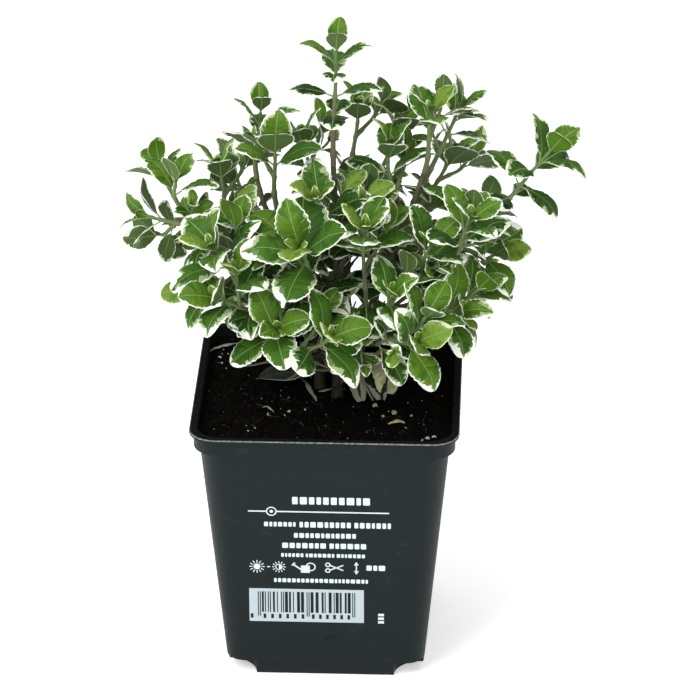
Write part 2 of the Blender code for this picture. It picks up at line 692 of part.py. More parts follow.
def build_limb(limb, path, parts):
    """Build one stem or bough as a tapering tube, cut level where it rises from the soil."""
    shape = tube_shape(path)
    if limb.carrier == "soil":
        for vert in shape.verts:
            if vert.co.z < STEM_CUT + GAP:
                vert.co.z = STEM_CUT
    piece = finish(shape, limb.name, path.points[0])
    parts.objects.link(piece)
    return piece


def body_round(face):
    """Return all the faces that are joined to a face through shared edges."""
    body = {face}
    front = [face]
    while front:
        beside = {other for edge in front.pop().edges for other in edge.link_faces}
        front.extend(beside - body)
        body |= beside
    return body


def drop_scraps(mesh):
    """Keep only the largest of the bodies that a mesh holds."""
    shape = bmesh.new()
    shape.from_mesh(mesh)
    bodies = []
    unseen = set(shape.faces)
    while unseen:
        bodies.append(body_round(next(iter(unseen))))
        unseen -= bodies[-1]
    bodies.sort(key=len)
    scraps = [face for body in bodies[:-1] for face in body]
    bmesh.ops.delete(shape, geom=scraps, context="FACES")
    shape.to_mesh(mesh)
    shape.free()


def build_mass(shoot, twigs, leaves, section, parts):
    """Build one mass of leaves: its main twig, side twigs and leaves, fused into one solid."""
    origin = twigs[0].path.points[0]
    piece = finish(tube_shape(twigs[0].path, section), shoot.name, origin)
    parts.objects.link(piece)
    growth = bpy.data.collections.new(f"{shoot.name} growth")
    bpy.context.scene.collection.children.link(growth)
    for twig in twigs[1:]:
        growth.objects.link(finish(tube_shape(twig.path, section), "side twig", origin))
    for leaf in leaves:
        growth.objects.link(finish(leaf_shape(leaf), "leaf", origin))
    modifier = piece.modifiers.new("fuse", "BOOLEAN")
    modifier.operation = "UNION"
    modifier.operand_type = "COLLECTION"
    modifier.collection = growth
    bpy.context.view_layer.update()
    evaluated = piece.evaluated_get(bpy.context.evaluated_depsgraph_get())
    fused = bpy.data.meshes.new_from_object(evaluated)
    drop_scraps(fused)
    piece.modifiers.remove(modifier)
    piece.data = fused
    for operand in list(growth.objects):
        bpy.data.objects.remove(operand)
    bpy.data.collections.remove(growth)
    return piece


def material(name, colour, roughness):
    """Return a plain material for the solids."""
    made = bpy.data.materials.new(name)
    made.use_nodes = True
    shader = made.node_tree.nodes["Principled BSDF"]
    shader.inputs["Base Color"].default_value = (*colour, 1.0)
    shader.inputs["Roughness"].default_value = roughness
    return made


def main():
    """Build the pot, the soil and the plant."""
    for stray in list(bpy.data.objects):
        bpy.data.objects.remove(stray)
    parts = bpy.data.collections.new("potted shrublet")
    helpers = bpy.data.collections.new("cutters")
    for collection in (parts, helpers):
        bpy.context.scene.collection.children.link(collection)
    plastic = material("dark pot plastic", (0.026, 0.036, 0.038), 0.45)
    earth = material("potting soil", (0.009, 0.007, 0.006), 0.95)
    bark = material("grey brown bark", (0.16, 0.13, 0.085), 0.8)
    foliage = material("variegated leaves", (0.12, 0.22, 0.08), 0.45)
    dressed = [(build_pot(parts, helpers), plastic), (build_soil(parts, helpers), earth)]
    paths, twigs, leaves = grow_plant()
    for limb in LIMBS:
        dressed.append((build_limb(limb, paths[limb.name], parts), bark))
    section = triangle_profile()
    for shoot in SHOOTS:
        mass = build_mass(shoot, twigs[shoot.name], leaves[shoot.name], section, parts)
        dressed.append((mass, foliage))
    bpy.data.objects.remove(section)
    whole = bpy.data.objects.new("whole plant", None)
    parts.objects.link(whole)
    for piece, finish_material in dressed:
        piece.data.materials.append(finish_material)
        piece.parent = whole


if __name__ == "__main__":
    main()
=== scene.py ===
"""The looks of a young variegated evergreen shrublet in its square nursery pot.

Lengths in this file are millimetres and angles are degrees, as in the solids' own growth rule; each mesh
is scaled to metres when it is made. +Z is up, -Y is the pot's front, and the origin is the middle of the
pot's flat underside.
"""

import json
import logging
import math
import random
from collections.abc import Callable, Iterator, Sequence
from contextlib import contextmanager
from dataclasses import dataclass, field, replace
from enum import Enum, IntEnum, auto

import bmesh
import bpy
import numpy as np
from mathutils import Matrix, Quaternion, Vector, noise
from mathutils.bvhtree import BVHTree
from mathutils.geometry import interpolate_bezier

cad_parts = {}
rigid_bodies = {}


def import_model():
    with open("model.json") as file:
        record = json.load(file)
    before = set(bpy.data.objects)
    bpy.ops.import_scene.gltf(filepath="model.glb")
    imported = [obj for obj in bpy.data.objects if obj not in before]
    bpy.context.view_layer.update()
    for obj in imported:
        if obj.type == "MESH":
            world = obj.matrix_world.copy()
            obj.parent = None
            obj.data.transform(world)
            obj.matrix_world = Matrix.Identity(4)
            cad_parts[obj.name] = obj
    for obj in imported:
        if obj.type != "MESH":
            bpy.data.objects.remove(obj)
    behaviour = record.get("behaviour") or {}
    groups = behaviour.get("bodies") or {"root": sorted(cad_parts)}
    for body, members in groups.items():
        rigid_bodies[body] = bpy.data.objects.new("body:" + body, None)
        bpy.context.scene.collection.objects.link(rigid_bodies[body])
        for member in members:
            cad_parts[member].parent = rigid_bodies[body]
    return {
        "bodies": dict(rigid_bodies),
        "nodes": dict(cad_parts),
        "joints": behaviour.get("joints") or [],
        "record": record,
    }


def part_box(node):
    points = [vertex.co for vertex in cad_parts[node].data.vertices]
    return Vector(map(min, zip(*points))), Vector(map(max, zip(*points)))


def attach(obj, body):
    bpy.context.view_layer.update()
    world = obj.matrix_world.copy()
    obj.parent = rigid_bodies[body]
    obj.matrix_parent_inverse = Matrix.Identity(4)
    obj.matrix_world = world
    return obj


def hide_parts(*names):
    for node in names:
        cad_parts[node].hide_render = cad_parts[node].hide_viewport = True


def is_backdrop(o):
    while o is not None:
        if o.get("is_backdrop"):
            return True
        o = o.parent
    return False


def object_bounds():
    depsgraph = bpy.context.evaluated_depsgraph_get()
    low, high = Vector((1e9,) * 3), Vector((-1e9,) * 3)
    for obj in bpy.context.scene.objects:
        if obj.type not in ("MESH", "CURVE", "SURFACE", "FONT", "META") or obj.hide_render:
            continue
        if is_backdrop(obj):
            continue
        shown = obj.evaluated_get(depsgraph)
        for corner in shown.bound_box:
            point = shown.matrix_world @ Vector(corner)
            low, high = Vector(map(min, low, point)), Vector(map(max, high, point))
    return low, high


LOG = logging.getLogger("shrublet")
MM = 0.001
UP = Vector((0.0, 0.0, 1.0))
WHITE = (1.0, 1.0, 1.0, 1.0)
# The signs of the four corners of a square, in turn
CORNERS = ((1, 1), (-1, 1), (-1, -1), (1, -1))

Span = tuple[float, float]
Spot = tuple[float, float, float]
Surface = tuple[list[Vector], list[tuple[int, ...]]]
Socket = bpy.types.NodeSocket
Sockets = Sequence[Socket]
Value = float | Sequence[float] | Socket
Inputs = dict[str | int, Value]


class Slot(Enum):
    """The record's material slots."""

    PLASTIC = "pot_plastic"
    SOIL = "potting_soil"
    BARK = "bark"
    FOLIAGE = "foliage"


class Tone(IntEnum):
    """Every finish that a face can have."""

    CREAM = auto()
    BUTTER = auto()
    RIB = auto()
    VEIN = auto()
    PATCH = auto()
    FEATHER = auto()
    UNDERSIDE = auto()
    DARKEST = auto()
    DEEP = auto()
    MATURE = auto()
    LIVELY = auto()
    FRESH = auto()
    YOUNG = auto()
    STRAW = auto()
    UMBER = auto()
    DULL = auto()
    HUSK = auto()
    GREEN_STEM = auto()
    OLIVE_STEM = auto()
    BROWN_STEM = auto()
    BARK = auto()
    YOUNG_BARK = auto()
    SOIL = auto()
    DARK_CRUMB = auto()
    BROWN_CRUMB = auto()
    PERLITE = auto()
    PLASTIC = auto()
    INK = auto()
    PANEL = auto()
    WORN_EDGE = auto()
    SOILED = auto()


class Age(Enum):
    """How old a leaf is, which settles its colours."""

    YOUNG = auto()
    FRESH = auto()
    LIVELY = auto()
    MATURE = auto()
    OLD = auto()
    FADED = auto()
    WITHERED = auto()
    FALLEN = auto()


OLD_AGES = (Age.WITHERED, Age.FALLEN)


@dataclass(frozen=True)
class LeafColours:
    """The tones of one age of leaf, from its middle outward, with its veins and its underside."""

    green: Tone
    shade: Tone
    patch: Tone
    margin: Tone
    vein: Tone
    under: Tone


LEAF_COLOURS = {
    Age.YOUNG: LeafColours(Tone.YOUNG, Tone.FRESH, Tone.RIB, Tone.BUTTER, Tone.RIB, Tone.FRESH),
    Age.FRESH: LeafColours(Tone.FRESH, Tone.LIVELY, Tone.PATCH, Tone.CREAM, Tone.YOUNG, Tone.UNDERSIDE),
    Age.LIVELY: LeafColours(Tone.LIVELY, Tone.MATURE, Tone.PATCH, Tone.CREAM, Tone.VEIN, Tone.UNDERSIDE),
    Age.MATURE: LeafColours(Tone.MATURE, Tone.DEEP, Tone.PATCH, Tone.CREAM, Tone.VEIN, Tone.UNDERSIDE),
    Age.OLD: LeafColours(Tone.DEEP, Tone.DARKEST, Tone.PATCH, Tone.CREAM, Tone.MATURE, Tone.UNDERSIDE),
    Age.FADED: LeafColours(Tone.STRAW, Tone.HUSK, Tone.STRAW, Tone.BUTTER, Tone.RIB, Tone.STRAW),
    Age.WITHERED: LeafColours(Tone.UMBER, Tone.HUSK, Tone.HUSK, Tone.HUSK, Tone.UMBER, Tone.UMBER),
    Age.FALLEN: LeafColours(Tone.DULL, Tone.DARKEST, Tone.DULL, Tone.HUSK, Tone.UMBER, Tone.UMBER),
}


@dataclass(frozen=True)
class Limb:
    """A stem or bough: what carries it, where it leaves that, and its tip, end direction and girth."""

    name: str
    carrier: str
    along: float
    tip: tuple[float, float, float]
    heading: float
    rise: float
    foot_radius: float
    tip_radius: float


@dataclass(frozen=True)
class Shoot:
    """A mass of leaves: its limb, its growing tip, and the number, size and turn of its leaves."""

    name: str
    limb: str
    along: float
    tip: tuple[float, float, float]
    heading: float
    rise: float
    pairs: int
    leaf: float
    roll: float
    sides: int
    young: float = 0.72


LIMBS = (
    Limb("stem_middle", "soil", 90.0, (1.6, 1.5, 174.0), 240, 86, 1.7, 0.9),
    Limb("stem_left", "soil", 180.0, (-17.5, 4.0, 158.0), 180, 78, 1.6, 0.9),
    Limb("stem_right", "soil", 0.0, (31.5, 6.0, 170.0), 5, 74, 1.7, 0.9),
    Limb("stem_front", "soil", 270.0, (-4.0, -19.0, 140.0), 255, 60, 1.6, 0.9),
    Limb("stem_back", "soil", 60.0, (6.0, 25.0, 158.0), 80, 76, 1.6, 0.9),
    Limb("bough_top_left", "stem_left", 0.62, (-24.5, 13.0, 164.0), 160, 78, 1.1, 0.8),
    Limb("bough_far_left", "stem_left", 0.42, (-43.0, 6.0, 146.0), 180, 50, 1.3, 0.85),
    Limb("bough_left_front", "stem_left", 0.28, (-25.0, -15.0, 132.0), 215, 50, 1.3, 0.85),
    Limb("bough_front_left", "stem_front", 0.30, (-9.0, -27.0, 118.0), 250, 48, 1.2, 0.85),
    Limb("bough_front_right", "stem_front", 0.42, (19.0, -26.0, 124.0), 300, 48, 1.2, 0.85),
    Limb("bough_right_front", "stem_right", 0.30, (35.0, -12.0, 134.0), 335, 50, 1.3, 0.85),
    Limb("bough_far_right", "stem_right", 0.42, (50.0, 9.0, 148.0), 5, 52, 1.3, 0.85),
    Limb("bough_back_left", "stem_back", 0.34, (-19.0, 29.0, 137.0), 130, 52, 1.2, 0.85),
    Limb("bough_back_right", "stem_back", 0.42, (27.0, 30.0, 142.0), 45, 54, 1.2, 0.85),
)

SHOOTS = (
    Shoot("leaves_top", "stem_middle", 1.00, (2.6, 0.0, 216.0), 265, 86, 5, 12.5, 90, 0, 0.78),
    Shoot("leaves_centre_front", "stem_front", 1.00, (-8.0, -31.0, 159.0), 255, 46, 4, 20.0, 85, 1, 0.86),
    Shoot("leaves_far_right", "bough_far_right", 1.00, (73.0, 5.0, 179.0), 0, 50, 4, 14.5, 60, 0, 0.85),
    Shoot("leaves_top_left", "bough_top_left", 1.00, (-23.3, 15.0, 187.5), 155, 86, 3, 13.0, 100, 0),
    Shoot("leaves_left_upright", "stem_left", 1.00, (-17.7, 0.0, 179.0), 260, 78, 3, 15.0, 90, 1, 0.95),
    Shoot("leaves_right_top", "stem_right", 1.00, (33.6, 4.0, 192.5), 0, 82, 3, 15.0, 20, 1),
    Shoot("leaves_far_left", "bough_far_left", 1.00, (-61.0, 10.0, 151.0), 185, 22, 3, 14.0, 30, 1),
    Shoot("leaves_left_high", "bough_far_left", 0.80, (-51.0, 2.0, 167.0), 20, 66, 3, 15.0, 60, 1),
    Shoot("leaves_left_back", "bough_far_left", 0.62, (-37.5, 17.0, 166.0), 160, 72, 3, 15.0, 0, 1),
    Shoot("leaves_left_middle", "bough_left_front", 1.00, (-36.5, -23.0, 155.0), 215, 48, 4, 18.0, 20, 1),
    Shoot("leaves_left_inner", "bough_left_front", 0.78, (-29.0, -8.0, 158.0), 200, 66, 3, 15.0, 60, 0),
    Shoot("leaves_left_low", "bough_left_front", 0.60, (-34.0, -32.0, 141.0), 230, 38, 3, 18.0, 0, 1),
    Shoot("leaves_left_lower", "bough_far_left", 0.45, (-43.0, -6.0, 131.0), 200, 34, 3, 15.0, 0, 0),
    Shoot("leaves_centre_upper", "stem_middle", 0.60, (-3.0, -12.0, 168.0), 250, 56, 4, 16.0, 0, 1),
    Shoot("leaves_centre_upper_right", "stem_middle", 0.52, (11.0, -8.0, 166.0), 305, 56, 4, 16.0, 30, 1),
    Shoot("leaves_centre_right", "bough_front_right", 0.50, (13.0, -22.0, 162.0), 290, 60, 4, 16.0, 0, 2),
    Shoot("leaves_front_right", "bough_front_right", 1.00, (30.0, -40.0, 130.0), 300, 42, 3, 17.0, 30, 1),
    Shoot(
        "leaves_front_right_upper", "bough_front_right", 0.60, (22.0, -31.0, 142.0), 290, 48, 3, 16.0, 20, 1
    ),
    Shoot("leaves_front_left", "bough_front_left", 0.75, (-15.5, -36.0, 132.0), 245, 45, 4, 17.0, 20, 1),
    Shoot("leaves_front_centre", "bough_front_left", 1.00, (1.5, -41.0, 131.0), 270, 45, 4, 17.0, 30, 1),
    Shoot("leaves_right_front", "bough_right_front", 1.00, (47.0, -23.0, 166.0), 330, 64, 4, 16.0, 30, 1),
    Shoot("leaves_right_middle", "bough_right_front", 0.80, (35.0, -20.0, 156.0), 325, 66, 3, 16.0, 60, 0),
    Shoot("leaves_right_low", "bough_right_front", 0.62, (42.0, -25.0, 134.0), 325, 34, 3, 17.0, 0, 1),
    Shoot("leaves_right_lower", "bough_right_front", 0.42, (49.0, -5.0, 131.0), 350, 36, 3, 15.0, 0, 0),
    Shoot("leaves_right_outer", "bough_far_right", 0.72, (55.0, -4.0, 145.0), 350, 44, 3, 15.0, 20, 0),
    Shoot("leaves_right_old", "bough_far_right", 0.55, (51.0, 20.0, 152.0), 20, 50, 3, 15.0, 50, 1),
    Shoot("leaves_right_top_back", "stem_right", 0.88, (43.0, 20.0, 188.0), 20, 66, 3, 14.0, 30, 0),
    Shoot("leaves_upper_right", "stem_right", 0.76, (20.0, 8.0, 178.0), 15, 74, 4, 15.0, 0, 1),
    Shoot("leaves_upper_back", "stem_back", 1.00, (9.0, 27.0, 184.0), 75, 80, 3, 14.0, 0, 1),
    Shoot("leaves_back_upper_right", "stem_back", 0.80, (22.0, 26.0, 178.0), 50, 70, 3, 15.0, 30, 1),
    Shoot("leaves_back_upper_left", "stem_back", 0.74, (-10.0, 30.0, 172.0), 115, 68, 3, 15.0, 0, 1),
    Shoot("leaves_back_middle", "stem_back", 0.55, (5.0, 44.0, 150.0), 85, 52, 3, 17.0, 20, 1),
    Shoot("leaves_back_low", "stem_back", 0.36, (2.0, 46.0, 128.0), 90, 38, 3, 16.0, 0, 0),
    Shoot("leaves_back_left", "bough_back_left", 1.00, (-36.0, 38.0, 154.0), 140, 58, 3, 16.0, 20, 1),
    Shoot("leaves_back_left_low", "bough_back_left", 0.70, (-32.0, 44.0, 132.0), 130, 40, 3, 16.0, 0, 0),
    Shoot("leaves_left_outer_back", "bough_back_left", 0.52, (-46.0, 27.0, 140.0), 155, 42, 3, 16.0, 40, 0),
    Shoot("leaves_back_right", "bough_back_right", 1.00, (40.0, 40.0, 162.0), 45, 60, 3, 16.0, 20, 1),
    Shoot("leaves_back_right_low", "bough_back_right", 0.72, (28.0, 47.0, 136.0), 60, 42, 3, 16.0, 0, 0),
    Shoot("leaves_right_outer_back", "bough_back_right", 0.52, (49.0, 29.0, 138.0), 30, 42, 3, 16.0, 40, 0),
    Shoot("leaves_inner_low_left", "stem_left", 0.24, (-26.0, 12.0, 124.0), 165, 40, 3, 15.0, 0, 0),
    Shoot("leaves_inner_low_right", "stem_right", 0.24, (28.0, 12.0, 124.0), 20, 40, 3, 15.0, 0, 0),
)


@dataclass(frozen=True)
class LeafRule:
    """Sizes of a leaf, and how the leaves of a twig change from its tip down."""

    stalk: float = 2.4
    root_depth: float = 0.3
    breadth: float = 0.72
    core: float = 0.42
    core_reach: float = 0.4
    # Outline of a leaf's room: share of the blade's length, share of its half breadth
    outline: tuple[Span, ...] = ((0.24, 0.9), (0.68, 0.9), (1.0, 0.0), (0.68, -0.9), (0.24, -0.9))
    # How far each pair, counted from the tip, leans out from its twig, and how far it has grown
    pitch: tuple[float, ...] = (20.0, 42.0, 58.0, 68.0, 76.0)
    growth: tuple[float, ...] = (0.0, 0.6, 1.0, 1.15, 1.0)
    # Ages that leaves take in turn, from the youngest pair down to the leaves of old wood
    ages: tuple[tuple[Age, ...], ...] = (
        (Age.YOUNG, Age.FRESH, Age.FRESH),
        (Age.FRESH, Age.LIVELY, Age.LIVELY),
        (Age.LIVELY, Age.LIVELY, Age.MATURE, Age.MATURE),
        (Age.LIVELY, Age.MATURE, Age.MATURE, Age.OLD),
        (Age.MATURE, Age.OLD, Age.OLD),
    )
    age_stride: int = 7
    light_seeking: float = 0.45
    pitch_spread: float = 7.0
    turn_spread: float = 12.0
    size_spread: float = 0.08
    fold: Span = (8.0, 20.0)
    curl: Span = (12.0, 34.0)
    # Ways in which a leaf may give way to what stands beside it: pitch, turn and size
    tries: tuple[Spot, ...] = (
        (0, 0, 1.0), (12, 0, 1.0), (-12, 0, 1.0), (0, 22, 1.0), (0, -22, 1.0), (14, 18, 0.88),
        (-14, -18, 0.88), (20, -20, 0.8), (0, 0, 0.75), (-20, 20, 0.7), (10, 35, 0.7), (10, -35, 0.7),
    )


@dataclass(frozen=True)
class GrowthRule:
    """Sizes and shares by which stems, boughs and twigs grow."""

    gap: float = 0.3
    stem_cut: float = 90.3
    foot: Span = (3.0, 4.0)
    stem_spacing: float = 6.2
    flare_girth: float = 1.35
    flare_share: float = 0.12
    handle_share: float = 0.36
    carrier_pull: float = 0.35
    least_fork: float = 30.0
    limb_points: int = 8
    stem_points: int = 12
    twig_points: int = 6
    side_twig_points: int = 4
    twig_foot_radius: float = 0.75
    twig_tip_radius: float = 0.4
    side_twig_radius: float = 0.6
    side_twig_length: Span = (12.0, 17.0)
    side_twig_pairs: int = 2
    side_twig_leaf: float = 0.9
    side_twig_turns: tuple[int, ...] = (45, -135, 135, -45, 0, 180, 90, -90)
    side_twig_roll: float = 50.0
    side_twig_step: float = 3.0
    first_pair_drop: float = 1.2
    pair_spacing: tuple[float, ...] = (3.5, 5.0, 6.5, 8.0, 9.0)
    bare_foot: float = 4.0
    soil_level: float = 90.0
    soil_clearance: float = 1.0
    # Sideways bows, as shares of its length, by which a stem grows round what it meets
    bows: tuple[float, ...] = (0.0, 0.1, -0.1, 0.18, -0.18, 0.26, -0.26)


@dataclass(frozen=True)
class FinerRule:
    """Sizes of the growth that the solids leave out: buds, sprigs and leaves on the older wood."""

    reach: float = 2.5
    # The two leaves of a bud: their size, lean, turn, form and stalk
    bud_leaf: float = 0.34
    bud_least: float = 3.2
    bud_pitch: float = 13.0
    bud_lean: Span = (0.7, 1.5)
    bud_turn: float = 15.0
    bud_sizes: Span = (0.85, 1.1)
    bud_sunk: float = 0.3
    bud_fold: float = 30.0
    bud_curl: float = 25.0
    bud_stalk: float = 0.5
    # Short side sprigs and where they stand
    sprig_length: Span = (5.0, 8.5)
    sprig_leaf: float = 0.56
    sprig_young: float = 0.7
    sprig_roll: float = 45.0
    sprig_pairs: int = 2
    sprig_points: int = 4
    sprig_radius: float = 0.42
    sprig_taper: float = 0.7
    sprig_rise: float = 0.8
    sprig_turns: tuple[float, ...] = (0.0, 90.0, 180.0, 270.0, 45.0, 225.0)
    sprig_tries: int = 2
    sprig_chance: float = 0.6
    sprig_bare_foot: float = 1.4
    sprig_first_drop: float = 5.5
    sprig_step: float = 5.2
    sprig_last: float = 0.8
    sprig_stalk: float = 1.1
    # More pairs below those of the solids' twigs
    lower_pairs: int = 3
    lower_leaf: float = 0.82
    lower_step: float = 6.5
    lower_last: float = 1.5
    # Leaves and sprigs on the upper part of the limbs themselves
    bare_height: float = 118.0
    limb_leaf: float = 14.5
    limb_leaf_share: float = 0.5
    limb_leaf_step: float = 7.5
    limb_leaf_spread: Span = (0.85, 1.2)
    limb_first_drop: float = 4.0
    limb_first_pair: int = 3
    limb_sprig_turns: tuple[float, ...] = (45.0, 225.0, 135.0, 315.0)
    limb_sprig_share: float = 0.5
    limb_sprig_drop: float = 2.5
    # Heights between which the finer growth thins out, and the share that is left above
    full_below: float = 128.0
    airy_above: float = 168.0
    airy_share: float = 0.12
    # Thin leafless twigs on the inner wood
    bare_step: float = 5.0
    bare_spread: Span = (0.7, 1.3)
    bare_below: float = 136.0
    bare_length: Span = (9.0, 21.0)
    bare_radius: float = 0.45
    bare_taper: float = 0.5
    bare_points: int = 6
    bare_lean: Span = (0.1, 0.9)
    bare_rise: Span = (-0.2, 0.9)
    bare_bow: float = 0.12
    bare_gap: float = 0.1
    bare_clearance: float = 4.0
    bare_nodes: Span = (0.25, 0.6)
    bare_older: float = 30.0

    def fullness(self, height: float) -> float:
        """Return the share of the finer growth that stands at a height."""
        thinned = min(max((height - self.full_below) / (self.airy_above - self.full_below), 0.0), 1.0)
        return 1.0 - (1.0 - self.airy_share) * thinned


LEAF = LeafRule()
GROWTH = GrowthRule()
FINER = FinerRule()


@dataclass
class Path:
    """The centre line of a limb or twig with its radius at each point."""

    points: list[Vector]
    radii: list[float]

    def spot(self, share: float) -> tuple[Vector, Vector, float]:
        """Find a place on the path.

        Args:
            share: The share of its length.

        Returns:
            The point, direction and radius there.
        """
        last = len(self.points) - 1
        index = min(int(share * last), last - 1)
        rest = share * last - index
        way = (self.points[index + 1] - self.points[index]).normalized()
        radius = self.radii[index] + (self.radii[index + 1] - self.radii[index]) * rest
        return self.points[index].lerp(self.points[index + 1], rest), way, radius

    def length(self) -> float:
        """Return the length of the centre line."""
        return sum((after - before).length for before, after in zip(self.points, self.points[1:]))

    def below(self, drop: float) -> tuple[Vector, Vector]:
        """Return the point and direction at a distance below the tip."""
        return self.spot(1.0 - drop / self.length())[:2]

    def fork(self, share: float, tip: Vector, radius: float) -> tuple[Vector, Vector]:
        """Find where growth clears this path's skin.

        Args:
            share: The share of the length where the growth leaves, or 1 for the tip.
            tip: The point that the growth makes for.
            radius: The growth's own radius at its foot.

        Returns:
            The growth's first point, and the direction in which it leaves.
        """
        place, way, girth = self.spot(share)
        if share == 1.0:
            return place + way * GROWTH.gap, way
        start_way = ((tip - place).normalized() + way * GROWTH.carrier_pull).normalized()
        across = start_way - way * start_way.dot(way)
        least = math.radians(GROWTH.least_fork)
        if across.length < math.sin(least):
            start_way = across.normalized() * math.sin(least) + way * math.cos(least)
        angle = start_way.angle(way)
        away = (girth + GROWTH.gap) / math.sin(angle) + radius / abs(math.tan(angle))
        return place + start_way * (away + 0.5 * GROWTH.gap), start_way


@dataclass(frozen=True)
class Course:
    """Where growth starts and ends, and its direction at each end."""

    start: Vector
    start_way: Vector
    tip: Vector
    tip_way: Vector

    def path(self, radii: list[float], bow: float = 0.0) -> Path:
        """Draw one smooth curve.

        Args:
            radii: The radius at each of its points.
            bow: The share of its length by which it bows aside.

        Returns:
            The path.
        """
        span = (self.tip - self.start).length
        aside = (self.tip - self.start).cross(UP).normalized() * (bow * span)
        first = self.start + self.start_way * (GROWTH.handle_share * span) + aside
        second = self.tip - self.tip_way * (GROWTH.handle_share * span) + aside
        return Path(interpolate_bezier(self.start, first, second, self.tip, len(radii)), radii)


@dataclass
class Reach:
    """The box that a piece of growth has to stay in."""

    low: np.ndarray
    high: np.ndarray

    def holds(self, corners: list[Vector]) -> bool:
        """Tell whether all corners lie in the box."""
        places = np.array(corners)
        return bool(np.all(places >= self.low) and np.all(places <= self.high))

    def grown(self, margin: float, limit: "Reach") -> "Reach":
        """Return the box grown by a margin, but not past a limit."""
        return Reach(np.maximum(self.low - margin, limit.low), np.minimum(self.high + margin, limit.high))


@dataclass
class Twig:
    """A leafy twig: its path, its leaves' number, size and turn, and how far down its pairs stand."""

    name: str
    path: Path
    pairs: int
    leaf: float
    young: float
    roll: float
    drops: list[float] = field(default_factory=list)
    older: float = 0.0
    # The box that its leaves stay in, if any, and the length of their stalks
    reach: Reach | None = None
    stalk: float = LEAF.stalk


@dataclass
class Leaf:
    """One leaf: where its stalk springs, the way it points, the way its face looks, and its form."""

    root: Vector
    along: Vector
    face: Vector
    length: float
    fold: float
    curl: float
    age: Age = Age.MATURE
    stalk: float = LEAF.stalk

    def spot(self, reach: float, across: float, lift: float) -> Vector:
        """Find a point on the leaf.

        Args:
            reach: The share of the blade's length.
            across: The share of its half breadth, negative on its other side.
            lift: The height over its surface.

        Returns:
            The point.
        """
        bend = math.radians(self.curl)
        turn = bend * reach
        run = self.stalk + self.length * math.sin(turn) / bend
        drop = self.length * (1.0 - math.cos(turn)) / bend
        half = 0.5 * LEAF.breadth * self.length * across
        fold = math.radians(self.fold)
        height = lift - drop + abs(half) * math.sin(fold)
        side = self.face.cross(self.along) * (half * math.cos(fold))
        return self.root + self.along * run + side + self.face * height

    def solid(self, swell: float = 0.0) -> Surface:
        """Shape the room that the leaf takes.

        Args:
            swell: How far the room is swollen on every side.

        Returns:
            Its corners and faces.
        """
        spread = 1.0 + 2.0 * swell / self.length
        ring = [self.root - self.along * LEAF.root_depth]
        ring += [self.spot(reach * spread, across * spread, 0.0) for reach, across in LEAF.outline]
        tops = [self.spot(LEAF.core_reach, 0.0, side * (LEAF.core + swell)) for side in (1.0, -1.0)]
        count = len(ring)
        faces = [(step, (step + 1) % count, count) for step in range(count)]
        faces += [((step + 1) % count, step, count + 1) for step in range(count)]
        return ring + tops, faces


class Room:
    """The space that is taken, so that new growth stays clear of it."""

    def __init__(self) -> None:
        """Start with nothing taken."""
        self.owners: list[str] = []
        self.trees: list[BVHTree] = []
        self.lows = np.empty((0, 3))
        self.highs = np.empty((0, 3))

    def add(self, owner: str, surface: Surface) -> None:
        """Remember a body.

        Args:
            owner: The name that it goes by.
            surface: Its corners and faces.
        """
        places = np.array(surface[0])
        self.owners.append(owner)
        self.trees.append(BVHTree.FromPolygons(*surface))
        self.lows = np.vstack((self.lows, places.min(0)))
        self.highs = np.vstack((self.highs, places.max(0)))

    def is_clear(self, surface: Surface, skip: Sequence[str] = ()) -> bool:
        """Tell whether a body cuts none of those taken.

        Args:
            surface: Its corners and faces.
            skip: The owners that it may cut.

        Returns:
            Whether it is clear.
        """
        places = np.array(surface[0])
        low, high = places.min(0), places.max(0)
        near = np.nonzero(np.all((self.lows <= high) & (self.highs >= low), axis=1))[0]
        tree = BVHTree.FromPolygons(*surface)
        return not any(self.owners[i] not in skip and tree.overlap(self.trees[i]) for i in near)

    def fits(self, surface: Surface, skip: Sequence[str], reach: Reach | None, lowest: float = 0.0) -> bool:
        """Tell whether new growth has room.

        Args:
            surface: The corners and faces of the room that it needs.
            skip: The owners that it may cut.
            reach: The box that it has to stay in, if any.
            lowest: The height that it has to stay above.

        Returns:
            Whether it does.
        """
        inside = reach is None or reach.holds(surface[0])
        return inside and min(corner.z for corner in surface[0]) > lowest and self.is_clear(surface, skip)


def ring_faces(count: int, sides: int) -> list[tuple[int, ...]]:
    """Join rings of points by faces.

    Args:
        count: The number of rings.
        sides: The number of points in each.

    Returns:
        The faces.
    """
    faces = []
    for first in range(0, (count - 1) * sides, sides):
        for step in range(sides):
            beside = first + (step + 1) % sides
            faces.append((first + step, beside, beside + sides, first + step + sides))
    return faces


def path_rings(points: list[Vector], radii: Sequence[float], sides: int) -> list[list[Vector]]:
    """Lay untwisted rings of points round a path.

    Args:
        points: The path's points.
        radii: The radius of each ring.
        sides: The number of points in a ring.

    Returns:
        A ring for each of the path's points.
    """
    rings = []
    side = (points[1] - points[0]).orthogonal()
    for index, (point, radius) in enumerate(zip(points, radii)):
        before = points[max(index - 1, 0)]
        after = points[min(index + 1, len(points) - 1)]
        way = (after - before).normalized()
        side = (side - way * side.dot(way)).normalized()
        turns = [Quaternion(way, math.tau * step / sides) for step in range(sides)]
        rings.append([point + turn @ side * radius for turn in turns])
    return rings


def tube_surface(path: Path, swell: float = 0.0, sides: int = 5) -> Surface:
    """Shape a path's skin.

    Args:
        path: The path.
        swell: How much thicker than the path it is.
        sides: How many sides it has.

    Returns:
        Its corners and faces.
    """
    rings = path_rings(path.points, [radius + swell for radius in path.radii], sides)
    corners = [corner for ring in rings for corner in ring]
    faces = ring_faces(len(rings), sides)
    faces.append(tuple(range(sides)))
    faces.append(tuple(range(len(corners) - sides, len(corners))))
    return corners, faces


